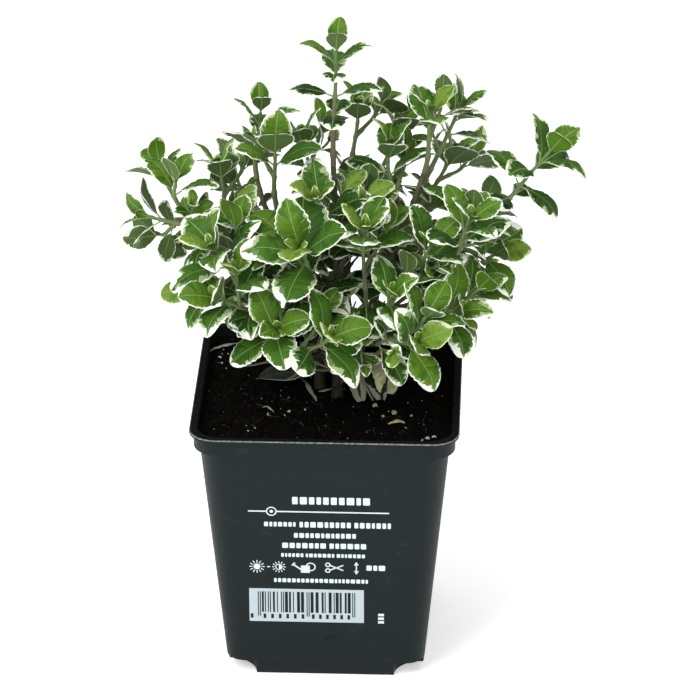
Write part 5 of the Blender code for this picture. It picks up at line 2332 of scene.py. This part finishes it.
    def build_bars(self) -> Workpiece:
        """Model the plain upright bars on the panel, of chance widths, with longer pairs as guards.

        Returns:
            Their workpiece.
        """
        left, right, low, high = self.bars
        step = self.bar_step
        pitch = self.guard_pitch * step
        pairs = (left, 0.5 * (left + right), right - (self.guard_pitch + 1.0) * step)
        guards = [place + side for place in pairs for side in (0.0, pitch)]
        blocks = [(place, place + step, self.guard_foot, high) for place in guards]
        chance = random.Random("panel bars")
        groups = ((guards[1], guards[2]), (guards[3], guards[4]))
        for start, end in groups:
            place = start + pitch
            while place < end - pitch:
                wide = step * chance.choice(self.bar_widths)
                blocks.append((place, min(place + wide, end - step), low, high))
                place += wide + step * chance.choice(self.bar_gaps)
        foot, top, wide, count, inset = self.figures
        blocks.append((left - inset - wide, left - inset, foot, top))
        for start, end in groups:
            for index in range(count):
                middle = start + step + (end - start - step) * (index + 0.5) / count
                blocks.append((middle - 0.5 * wide, middle + 0.5 * wide, foot, top))
        cube = bpy.ops.mesh.primitive_cube_add
        bars = Workpiece("panel_bars", cube, **self.block(*blocks[0]))
        with bars.editing("VERT"):
            for block in blocks[1:]:
                cube(**self.block(*block))
        return bars

    def mount(self, work: Workpiece, lift: float) -> None:
        """Flatten a sheet of marks to the ink's depth and lay it on the sloping front wall.

        Args:
            work: The sheet.
            lift: How far it stands off the wall.
        """
        slope = (self.pot.top_half - self.pot.foot_half) / self.pot.height
        thin = self.ink / self.model_depth
        foot = (self.pot.foot_half + lift) * MM
        lay = Matrix(((1, 0, 0, 0), (0, -slope, -thin, -foot), (0, 1, 0, 0), (0, 0, 0, 1)))
        work.piece.data.transform(lay)

    def dress(self, paints: PaintBox) -> None:
        """Build the print and lay it on the pot.

        Args:
            paints: The materials.
        """
        signs = self.build_signs()
        panel = Workpiece("care_panel", bpy.ops.mesh.primitive_cube_add, **self.block(*self.panel))
        sheets = (signs, Tone.INK, self.ink_lift), (panel, Tone.PANEL, self.ink_lift)
        for work, tone, lift in (*sheets, (self.build_bars(), Tone.PLASTIC, self.bar_lift)):
            self.mount(work, lift)
            work.paint(paints.material(tone))
            settle(work.piece, Slot.PLASTIC)


@dataclass
class Soil:
    """The soil's surface in the pot's mouth, with its crumbs, perlite, fibres and litter."""

    level: float = 90.0
    half: float = 42.25
    corner: float = 8.0
    cuts: int = 150
    # The thickness of the flat grid, the clods' lift, and the least rise of their top and of their foot
    depth: float = 0.4
    lift: float = 0.25
    least_rise: float = 0.05
    foot_rise: float = 0.02
    # The clods' height, their usual level as a share of it, and each noise's fineness, seed and share
    clods: float = 0.9
    clod_rise: float = 0.55
    clod_noises: tuple[Spot, ...] = ((0.07, 1.7, 0.5), (0.28, 4.1, 0.55), (0.9, 7.3, 0.4))
    surface_sharp: float = 60.0
    grain_sharp: float = 80.0
    litter_sharp: float = 40.0
    # A lump's rings: level and breadth; and how unevenly its corners stand out and rise
    lump_rings: tuple[Span, ...] = ((-0.75, 0.55), (-0.1, 1.0), (0.7, 0.6))
    lump_sides: int = 5
    lump_flat: Span = (0.5, 0.9)
    lump_slim: Span = (0.45, 1.0)
    lump_out: Span = (0.65, 1.25)
    lump_up: Span = (0.7, 1.3)
    # Crumbs: number, least size, more by chance and how seldom, height over the soil, share of brown
    crumbs: int = 2600
    crumb_sizes: Spot = (0.28, 0.75, 2.5)
    crumb_rise: float = 0.25
    brown_share: float = 0.16
    perlite: int = 95
    perlite_sizes: Spot = (0.16, 0.3, 2.0)
    perlite_rise: float = 0.5
    lump_rise: float = 0.35
    straw_from: float = 1.15
    # Fibres: number, length, half width, bow, arch, and how far from the walls they start
    fibres: int = 170
    fibre_length: Span = (1.2, 4.5)
    fibre_half: Span = (0.07, 0.16)
    fibre_bow: float = 0.2
    fibre_arch: float = 0.15
    fibre_inset: float = 4.0
    fibre_tones: tuple[Tone, ...] = (Tone.BROWN_CRUMB, Tone.BROWN_CRUMB, Tone.UMBER, Tone.DARK_CRUMB)
    # How far from the walls all that is loose stays
    edge_inset: float = 1.0
    # How a sliver is drawn: points along and round it, arch, rise and unevenness
    sliver_steps: int = 8
    sliver_sides: int = 6
    sliver_arch: float = 0.8
    sliver_rise: float = 0.25
    sliver_uneven: Span = (0.6, 1.25)
    # Its second bow's share and turns, how broad its ends and how full its flanks are, and its thickness
    sliver_wave: Span = (0.35, 7.0)
    sliver_end: float = 0.25
    sliver_full: float = 0.6
    sliver_thin: Span = (0.3, 0.04)
    # Fallen strips of bark and husk: both ends, half width, bow and tone; and how high they arch
    strip_arch: float = 0.9
    strips: tuple[tuple[Span, Span, float, float, Tone], ...] = (
        ((-11.7, 11.2), (-4.4, -7.4), 0.75, 1.6, Tone.HUSK),
        ((-3.7, 0.9), (5.7, 4.3), 0.8, -1.4, Tone.HUSK),
        ((-43.0, 29.0), (-33.5, 35.6), 0.9, 0.8, Tone.HUSK),
        ((20.8, -22.7), (26.5, -22.5), 1.1, 0.7, Tone.STRAW),
        ((-22.0, -12.0), (-18.0, -15.0), 0.5, 0.3, Tone.HUSK),
        ((12.0, 30.0), (21.0, 27.0), 0.8, 1.0, Tone.STRAW),
        ((-14.0, 36.0), (-7.0, 31.0), 0.7, -0.8, Tone.HUSK),
        ((31.0, 12.0), (34.0, 20.0), 0.7, 0.6, Tone.HUSK),
    )
    # Pale lumps that stand out: place and size
    lumps: tuple[Spot, ...] = (
        (34.4, -33.1, 1.0), (36.4, -31.8, 0.8), (32.6, -34.4, 0.7), (16.0, -9.6, 1.3),
        (22.6, -14.5, 1.2), (-12.5, -14.4, 0.9), (-19.7, -17.7, 0.8), (-37.8, 21.7, 0.6),
        (-36.0, 17.0, 0.5), (-38.6, 25.0, 0.7), (28.5, -16.0, 0.7), (19.0, -17.5, 0.8),
    )

    def height_at(self, x: float, y: float) -> float:
        """Find the level of the soil's clods.

        Args:
            x: The place across the pot.
            y: The place along it.

        Returns:
            The level.
        """
        relief = 0.0
        for fineness, seed, share in self.clod_noises:
            relief += share * noise.noise(Vector((x * fineness, y * fineness, seed)))
        return self.level + self.lift + self.clods * (self.clod_rise + relief)

    def fitted(self, x: float, y: float) -> Span:
        """Draw a place on the square grid in to the round corners of the mouth.

        Args:
            x: The place across the pot.
            y: The place along it.

        Returns:
            The new place.
        """
        inner = self.half - self.corner
        far_x, far_y = max(abs(x) - inner, 0.0), max(abs(y) - inner, 0.0)
        if min(far_x, far_y) <= 0.0:
            return x, y
        share = max(far_x, far_y) / math.hypot(far_x, far_y)
        return math.copysign(inner + far_x * share, x), math.copysign(inner + far_y * share, y)

    def build_surface(self) -> Workpiece:
        """Model the surface: a fine grid fitted to the mouth's round corners, raised in clods, closed.

        Returns:
            Its workpiece.
        """
        grid = {"x_subdivisions": self.cuts, "y_subdivisions": self.cuts, "size": 2.0 * self.half * MM}
        place = (0.0, 0.0, self.level * MM)
        bed = Workpiece("soil_surface", bpy.ops.mesh.primitive_grid_add, location=place, **grid)
        with bed.editing("FACE"):
            bpy.ops.mesh.select_all(action="SELECT")
            bpy.ops.mesh.extrude_region_move(TRANSFORM_OT_translate={"value": (0.0, 0.0, self.depth * MM)})
        for vert in bed.piece.data.vertices:
            x, y = self.fitted(vert.co.x / MM, vert.co.y / MM)
            is_top = vert.co.z > (self.level + 0.5 * self.depth) * MM
            top = max(self.height_at(x, y), self.level + self.least_rise)
            high = top if is_top else self.level + self.foot_rise
            vert.co = (x * MM, y * MM, high * MM)
        return bed

    def lump(self, chance: random.Random, place: Span, size: float, rise: float) -> np.ndarray:
        """Shape an uneven lump that lies on the soil.

        Args:
            chance: The source of its unevenness.
            place: Its place.
            size: Its size.
            rise: How high its middle lies, as a share of its size.

        Returns:
            Its rings of points.
        """
        x, y = place
        height = self.height_at(x, y) + size * rise
        flat = chance.uniform(*self.lump_flat)
        turn = chance.uniform(0.0, math.tau)
        slim = chance.uniform(*self.lump_slim)
        rings = []
        for level, wide in self.lump_rings:
            ring = []
            for step in range(self.lump_sides):
                angle = math.tau * step / self.lump_sides
                radius = size * wide * chance.uniform(*self.lump_out)
                out, aside = radius * math.cos(angle), radius * slim * math.sin(angle)
                up = height + size * level * flat * chance.uniform(*self.lump_up)
                across = x + out * math.cos(turn) - aside * math.sin(turn)
                ring.append((across, y + out * math.sin(turn) + aside * math.cos(turn), up))
            rings.append(ring)
        return np.array(rings)

    def sliver(self, ends: tuple[Span, Span], half: float, bends: Span, chance: random.Random) -> np.ndarray:
        """Shape a thin bowed strip that lies on the soil, pointed at its ends.

        Args:
            ends: The places of its two ends.
            half: Half its width.
            bends: How far it bows aside and how high it arches.
            chance: The source of its unevenness.

        Returns:
            Its rings of points.
        """
        start, end = ends
        bow, arch = bends
        span = math.hypot(end[0] - start[0], end[1] - start[1])
        way = ((end[0] - start[0]) / span, (end[1] - start[1]) / span)
        more, turns = self.sliver_wave
        narrow = self.sliver_end
        rings = []
        for step in range(self.sliver_steps + 1):
            share = step / self.sliver_steps
            middle = math.sin(math.pi * share)
            aside = bow * (middle + more * math.sin(turns * share + half))
            x = start[0] + (end[0] - start[0]) * share - way[1] * aside
            y = start[1] + (end[1] - start[1]) * share + way[0] * aside
            height = self.height_at(x, y) + self.sliver_rise + arch * middle * self.sliver_arch
            wide = half * (narrow + (1.0 - narrow) * middle**self.sliver_full)
            wide *= chance.uniform(*self.sliver_uneven)
            thin = self.sliver_thin[0] * wide + self.sliver_thin[1]
            angles = [math.tau * corner / self.sliver_sides for corner in range(self.sliver_sides)]
            outs = [(wide * math.cos(angle), thin * math.sin(angle)) for angle in angles]
            rings.append([(x + way[1] * out, y - way[0] * out, height + up) for out, up in outs])
        return np.array(rings)[:, ::-1]

    def somewhere(self, chance: random.Random, inset: float) -> Span:
        """Find a chance place on the soil.

        Args:
            chance: The source of chance.
            inset: How far it keeps from the walls.

        Returns:
            The place.
        """
        span = self.half - inset
        x, y = self.fitted(chance.uniform(-self.half, self.half), chance.uniform(-self.half, self.half))
        return x * span / self.half, y * span / self.half

    def build_crumbs(self, paints: PaintBox) -> bpy.types.Object:
        """Build the loose crumbs of soil.

        Args:
            paints: The materials.

        Returns:
            The piece.
        """
        chance = random.Random("crumbs")
        mesh = JoinedMesh("soil_crumbs")
        least, more, power = self.crumb_sizes
        for _ in range(self.crumbs):
            place = self.somewhere(chance, self.edge_inset)
            size = least + more * chance.random() ** power
            tone = Tone.BROWN_CRUMB if chance.random() < self.brown_share else Tone.DARK_CRUMB
            mesh.even_loft(self.lump(chance, place, size, self.crumb_rise), tone)
        return mesh.build(paints, self.grain_sharp)

    def build_perlite(self, paints: PaintBox) -> bpy.types.Object:
        """Build the pale grains and the pale lumps that stand out.

        Args:
            paints: The materials.

        Returns:
            The piece.
        """
        chance = random.Random("perlite")
        mesh = JoinedMesh("soil_perlite")
        least, more, power = self.perlite_sizes
        for _ in range(self.perlite):
            place = self.somewhere(chance, self.edge_inset)
            size = least + more * chance.random() ** power
            mesh.even_loft(self.lump(chance, place, size, self.perlite_rise), Tone.PERLITE)
        for x, y, size in self.lumps:
            tone = Tone.STRAW if size > self.straw_from else Tone.PERLITE
            mesh.even_loft(self.lump(chance, (x, y), size, self.lump_rise), tone)
        return mesh.build(paints, self.grain_sharp)

    def build_litter(self, paints: PaintBox) -> bpy.types.Object:
        """Build the fine fibres and the fallen strips.

        Args:
            paints: The materials.

        Returns:
            The piece.
        """
        chance = random.Random("fibres")
        mesh = JoinedMesh("soil_litter")
        for _ in range(self.fibres):
            x, y = self.somewhere(chance, self.fibre_inset)
            turn = chance.uniform(0.0, math.tau)
            long = chance.uniform(*self.fibre_length)
            end = (x + long * math.cos(turn), y + long * math.sin(turn))
            if max(abs(end[0]), abs(end[1])) > self.half - self.edge_inset:
                continue
            bends = (chance.uniform(-self.fibre_bow, self.fibre_bow) * long, self.fibre_arch)
            tone = chance.choice(self.fibre_tones)
            mesh.even_loft(self.sliver(((x, y), end), chance.uniform(*self.fibre_half), bends, chance), tone)
        for start, end, half, bow, tone in self.strips:
            mesh.even_loft(self.sliver((start, end), half, (bow, self.strip_arch), chance), tone)
        return mesh.build(paints, self.litter_sharp)

    def dress(self, frame: dict, paints: PaintBox) -> None:
        """Give the soil's solid its finish, and lay the surface and all that is loose on it.

        Args:
            frame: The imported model.
            paints: The materials.
        """
        solid = frame["nodes"]["soil"]
        solid.data.materials.clear()
        solid.data.materials.append(paints.material(Tone.SOIL))
        bed = self.build_surface()
        bed.smooth(self.surface_sharp)
        bed.paint(paints.material(Tone.SOIL))
        settle(bed.piece, Slot.SOIL)
        for build in (self.build_crumbs, self.build_perlite, self.build_litter):
            settle(build(paints), Slot.SOIL)


@dataclass
class Litter:
    """Old leaves that hang low or lie on the soil: root, tip, roll, curl, fold and age."""

    blade: Blade
    leaves: tuple[tuple[Spot, Spot, float, float, float, Age], ...] = (
        ((6.7, 9.4, 99.5), (10.9, -7.2, 93.9), 10.0, 40.0, 62.0, Age.WITHERED),
        ((4.6, 10.6, 96.4), (9.6, 10.4, 98.4), 20.0, 260.0, 10.0, Age.WITHERED),
        ((16.9, 13.0, 102.0), (20.3, -2.0, 95.5), -15.0, 50.0, 34.0, Age.FADED),
        ((15.2, 11.2, 95.5), (17.7, -5.0, 92.6), 12.0, 30.0, 48.0, Age.FALLEN),
        ((-25.0, 5.8, 92.8), (-6.0, 13.0, 93.4), -6.0, 14.0, 6.0, Age.FALLEN),
    )
    stalk: float = 0.5
    # A leaf curled further than this is rolled up, and its chord is this share of its length
    rolled_from: float = 180.0
    rolled_chord: float = 0.34

    def dress(self, paints: PaintBox) -> None:
        """Build the old leaves as one piece.

        Args:
            paints: The materials.
        """
        mesh = JoinedMesh("old_leaves")
        for number, (root, tip, roll, curl, fold, age) in enumerate(self.leaves):
            start, end = Vector(root), Vector(tip)
            along = (end - start).normalized()
            face = (UP - along * UP.dot(along)).normalized()
            face = Quaternion(along, math.radians(roll)) @ face
            bend = math.radians(curl)
            is_open = curl < self.rolled_from
            chord = 2.0 * math.sin(0.5 * bend) / bend if is_open else self.rolled_chord
            lean = Quaternion(face.cross(along), -0.5 * bend if is_open else 0.0)
            form = ((end - start).length / chord, fold, curl, age, self.stalk)
            leaf = Leaf(start, lean @ along, lean @ face, *form)
            self.blade.add(leaf, random.Random(f"old leaf {number}"), mesh)
        settle(mesh.build(paints, self.blade.sharp), Slot.FOLIAGE)


@dataclass
class Wood:
    """The stems and boughs, with the relief of their bark and a swelling at every old leaf pair."""

    skin: Skin = Skin(swelling=0.22, swelling_half=0.9)
    step: float = 0.9
    roundness: int = 4
    relief: float = 0.13
    relief_size: float = 1.6
    node_step: float = 9.0
    # The height of the stems' flat foot, what counts to it, and how far it is sunk
    cut_level: float = 90.3
    cut_reach: float = 0.4
    cut_sunk: float = 0.1
    merge: float = 0.002
    sharp: float = 70.0
    # The height under which the bark is painted dark, as shade and partly as the damp of the soil,
    # and how unevenly it ends
    shade_painted_below: float = 116.0
    patch_rise: float = 16.0
    patch_size: float = 3.0

    def build(self, limb: Limb, plant: Plant, ridge: bpy.types.Texture) -> Workpiece:
        """Model one limb: a curve with a round section, made a mesh, with bark displaced on it.

        Args:
            limb: The limb.
            plant: The plant, which knows its path and where its leaf pairs stood.
            ridge: The texture of its bark.

        Returns:
            The limb's workpiece.
        """
        points, radii, distances = smooth_path(plant.paths[limb.name], self.step)
        nodes = list(plant.limb_drops[limb.name])
        last = nodes[-1] if nodes else 0.0
        while last + self.node_step < distances[0] - self.node_step:
            last += self.node_step
            nodes.append(last)
        radii = self.skin.swollen(radii, distances, nodes)
        curve = Workpiece(limb.name + "_bark", bpy.ops.curve.primitive_nurbs_path_add, radius=MM)
        data = curve.piece.data
        data.splines.clear()
        spline = data.splines.new("POLY")
        spline.points.add(len(points) - 1)
        for place, point, radius in zip(spline.points, points, radii):
            place.co = (*(point * MM), 1.0)
            place.radius = radius
        data.dimensions = "3D"
        data.bevel_depth = MM
        data.bevel_resolution = self.roundness
        data.use_fill_caps = True
        bpy.ops.object.convert(target="MESH")
        curve.piece = bpy.context.view_layer.objects.active
        with curve.editing("VERT"):
            bpy.ops.mesh.select_all(action="SELECT")
            bpy.ops.mesh.remove_doubles(threshold=self.merge * MM)
            bpy.ops.mesh.normals_make_consistent(inside=False)
        curve.modify("DISPLACE", texture=ridge, strength=self.relief * MM, mid_level=0.5)
        if limb.carrier == "soil":
            for vert in curve.piece.data.vertices:
                if vert.co.z < (self.cut_level + self.cut_reach) * MM:
                    vert.co.z = (self.cut_level - self.cut_sunk) * MM
        return curve

    def dress(self, plant: Plant, paints: PaintBox) -> None:
        """Build every limb in place of its solid.

        Args:
            plant: The plant.
            paints: The materials.
        """
        ridge = bpy.data.textures.new("bark ridges", "CLOUDS")
        ridge.noise_scale = self.relief_size * MM
        for limb in LIMBS:
            work = self.build(limb, plant, ridge)
            work.smooth(self.sharp)
            work.paint(paints.material(Tone.YOUNG_BARK), paints.material(Tone.BARK))
            # Below an uneven height the limbs take the darker bark: painted shade near the soil, partly damp
            for face in work.piece.data.polygons:
                patch = noise.noise(face.center / (self.patch_size * MM)) * self.patch_rise
                face.material_index = int(face.center.z / MM < self.shade_painted_below + patch)
            settle(work.piece, Slot.BARK, limb.name)


@dataclass
class Foliage:
    """The leaves and twigs of every mass, and those that grow on the limbs themselves."""

    blade: Blade
    skin: Skin = Skin()

    def dress(self, plant: Plant, paints: PaintBox) -> None:
        """Build a piece of leaves for each mass and for each limb, and a piece of twigs for each limb.

        Args:
            plant: The plant.
            paints: The materials.
        """
        for shoot in SHOOTS:
            leaves = self.leafy("blades_" + shoot.name.removeprefix("leaves_"), plant.leaves[shoot.name])
            settle(leaves.build(paints, self.blade.sharp), Slot.FOLIAGE, shoot.name)
        for limb in LIMBS:
            if plant.leaves[limb.name]:
                leaves = self.leafy("blades_on_" + limb.name, plant.leaves[limb.name])
                settle(leaves.build(paints, self.blade.sharp), Slot.FOLIAGE)
            carried = [limb.name] + [shoot.name for shoot in SHOOTS if shoot.limb == limb.name]
            twigs = JoinedMesh("twigs_on_" + limb.name)
            for name in carried:
                for twig in plant.twigs[name]:
                    self.skin.add(twig, twigs)
            settle(twigs.build(paints, self.skin.sharp), Slot.BARK)

    def leafy(self, name: str, leaves: list[Leaf]) -> JoinedMesh:
        """Join leaves into a mesh.

        Args:
            name: The piece's name.
            leaves: The leaves.

        Returns:
            The mesh.
        """
        mesh = JoinedMesh(name)
        for number, leaf in enumerate(leaves):
            self.blade.add(leaf, random.Random(f"{name} {number}"), mesh)
        return mesh


@dataclass
class Studio:
    """A pale floor, soft light from above and the front, and the photograph's point of view."""

    distance: float = 1500.0
    elevation: float = 26.2
    bearing: float = 2.26
    aim: Span = (6.5, 107.8)
    focal: float = 4438.0
    frame_width: float = 696.0
    sensor: float = 36.0
    # The farthest that the camera sees, in metres
    sight: float = 100.0
    # The sky's strength at the horizon and overhead, and how high the bright horizon reaches
    horizon: float = 0.95
    ambient: float = 0.31
    horizon_rise: float = 0.3
    floor_size: float = 60000.0
    floor_grey: float = 0.93
    floor_roughness: float = 0.9
    # The floor's glow near and far: where the lights reach less, past distances in metres, it glows more
    glow: Span = (0.44, 0.66)
    glow_reach: Span = (0.6, 2.6)
    # Each light's name, place and size in metres, and power; and the height that they face
    lights: tuple[tuple[str, Spot, float, float], ...] = (
        ("key light", (-0.65, -0.8, 1.15), 0.8, 15.0),
        ("front light", (0.45, -1.3, 0.6), 1.0, 5.5),
        ("top light", (0.1, 0.2, 1.4), 1.2, 8.5),
    )
    lit_height: float = 0.12

    def build_camera(self) -> None:
        """Place the camera and make it the scene's own."""
        turn = math.radians(self.bearing)
        back = raised_way(self.bearing - 90.0, self.elevation)
        side, height = self.aim
        target = Vector((side * math.cos(turn), side * math.sin(turn), height))
        camera = bpy.data.objects.new("camera", bpy.data.cameras.new("camera"))
        camera.data.sensor_width = self.sensor
        camera.data.lens = self.focal * self.sensor / self.frame_width
        camera.data.clip_end = self.sight
        camera.location = (target + back * self.distance) * MM
        camera.rotation_euler = back.to_track_quat("Z", "Y").to_euler()
        bpy.context.scene.collection.objects.link(camera)
        bpy.context.scene.camera = camera

    def build_lights(self) -> None:
        """Add the square soft lights, which face the middle of the plant."""
        for name, place, size, power in self.lights:
            lamp = bpy.data.lights.new(name, "AREA")
            lamp.size = size
            lamp.energy = power
            holder = bpy.data.objects.new(name, lamp)
            holder.location = place
            away = Vector(place) - UP * self.lit_height
            holder.rotation_euler = away.to_track_quat("Z", "Y").to_euler()
            bpy.context.scene.collection.objects.link(holder)

    def build_world(self) -> None:
        """Light the scene from a pale sky, brightest round the horizon."""
        world = bpy.data.worlds.new("studio")
        world.use_nodes = True
        graph = Graph(world.node_tree)
        way = graph.add("ShaderNodeTexCoord")["Generated"]
        rise = graph.add("ShaderNodeSeparateXYZ", {0: way})["Z"]
        strength = graph.ranged(rise, (0.0, self.horizon_rise), (self.horizon, self.ambient))
        graph.fill(world.node_tree.nodes["Background"], {"Color": WHITE, "Strength": strength})
        bpy.context.scene.world = world

    def build_floor(self) -> None:
        """Lay a pale floor under the pot."""
        floor = Workpiece("studio_floor", bpy.ops.mesh.primitive_plane_add, size=self.floor_size * MM)
        material = bpy.data.materials.new("pale floor")
        material.use_nodes = True
        graph = Graph(material.node_tree)
        place = graph.add("ShaderNodeTexCoord")["Object"]
        reach = graph.add("ShaderNodeVectorMath", {0: place}, operation="LENGTH")["Value"]
        surface = {"Base Color": (*[self.floor_grey] * 3, 1.0), "Roughness": self.floor_roughness}
        surface["Emission Color"] = WHITE
        surface["Emission Strength"] = graph.ranged(reach, self.glow_reach, self.glow)
        graph.fill(material.node_tree.nodes["Principled BSDF"], surface)
        floor.paint(material)
        floor.piece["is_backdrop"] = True

    def dress(self) -> None:
        """Build the studio."""
        bpy.context.scene.view_settings.view_transform = "Standard"
        self.build_camera()
        self.build_world()
        self.build_floor()
        self.build_lights()


def millimetre_box(corners: tuple[Sequence[float], Sequence[float]]) -> Reach:
    """Return a box in millimetres from its lowest and highest corners in metres."""
    low, high = corners
    return Reach(np.array(low) / MM, np.array(high) / MM)


def main() -> None:
    """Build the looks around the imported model."""
    logging.basicConfig(level=logging.INFO, format="%(message)s")
    for stray in list(bpy.data.objects):
        bpy.data.objects.remove(stray)
    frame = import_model()
    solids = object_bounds()
    paints = PaintBox()
    pot = Pot()
    pot.dress(paints)
    CarePrint(pot).dress(paints)
    Soil().dress(frame, paints)
    nodes = {shoot.name: millimetre_box(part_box(shoot.name)) for shoot in SHOOTS}
    plant = Plant(millimetre_box(solids), nodes)
    plant.grow_frame()
    LOG.info("leaves by the solids' rule: %d", sum(len(leaves) for leaves in plant.leaves.values()))
    plant.grow_finer()
    LOG.info("leaves in all: %d", sum(len(leaves) for leaves in plant.leaves.values()))
    blade = Blade()
    Wood().dress(plant, paints)
    Foliage(blade).dress(plant, paints)
    Litter(blade).dress(paints)
    Studio().dress()
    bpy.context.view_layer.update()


if __name__ == "__main__":
    main()
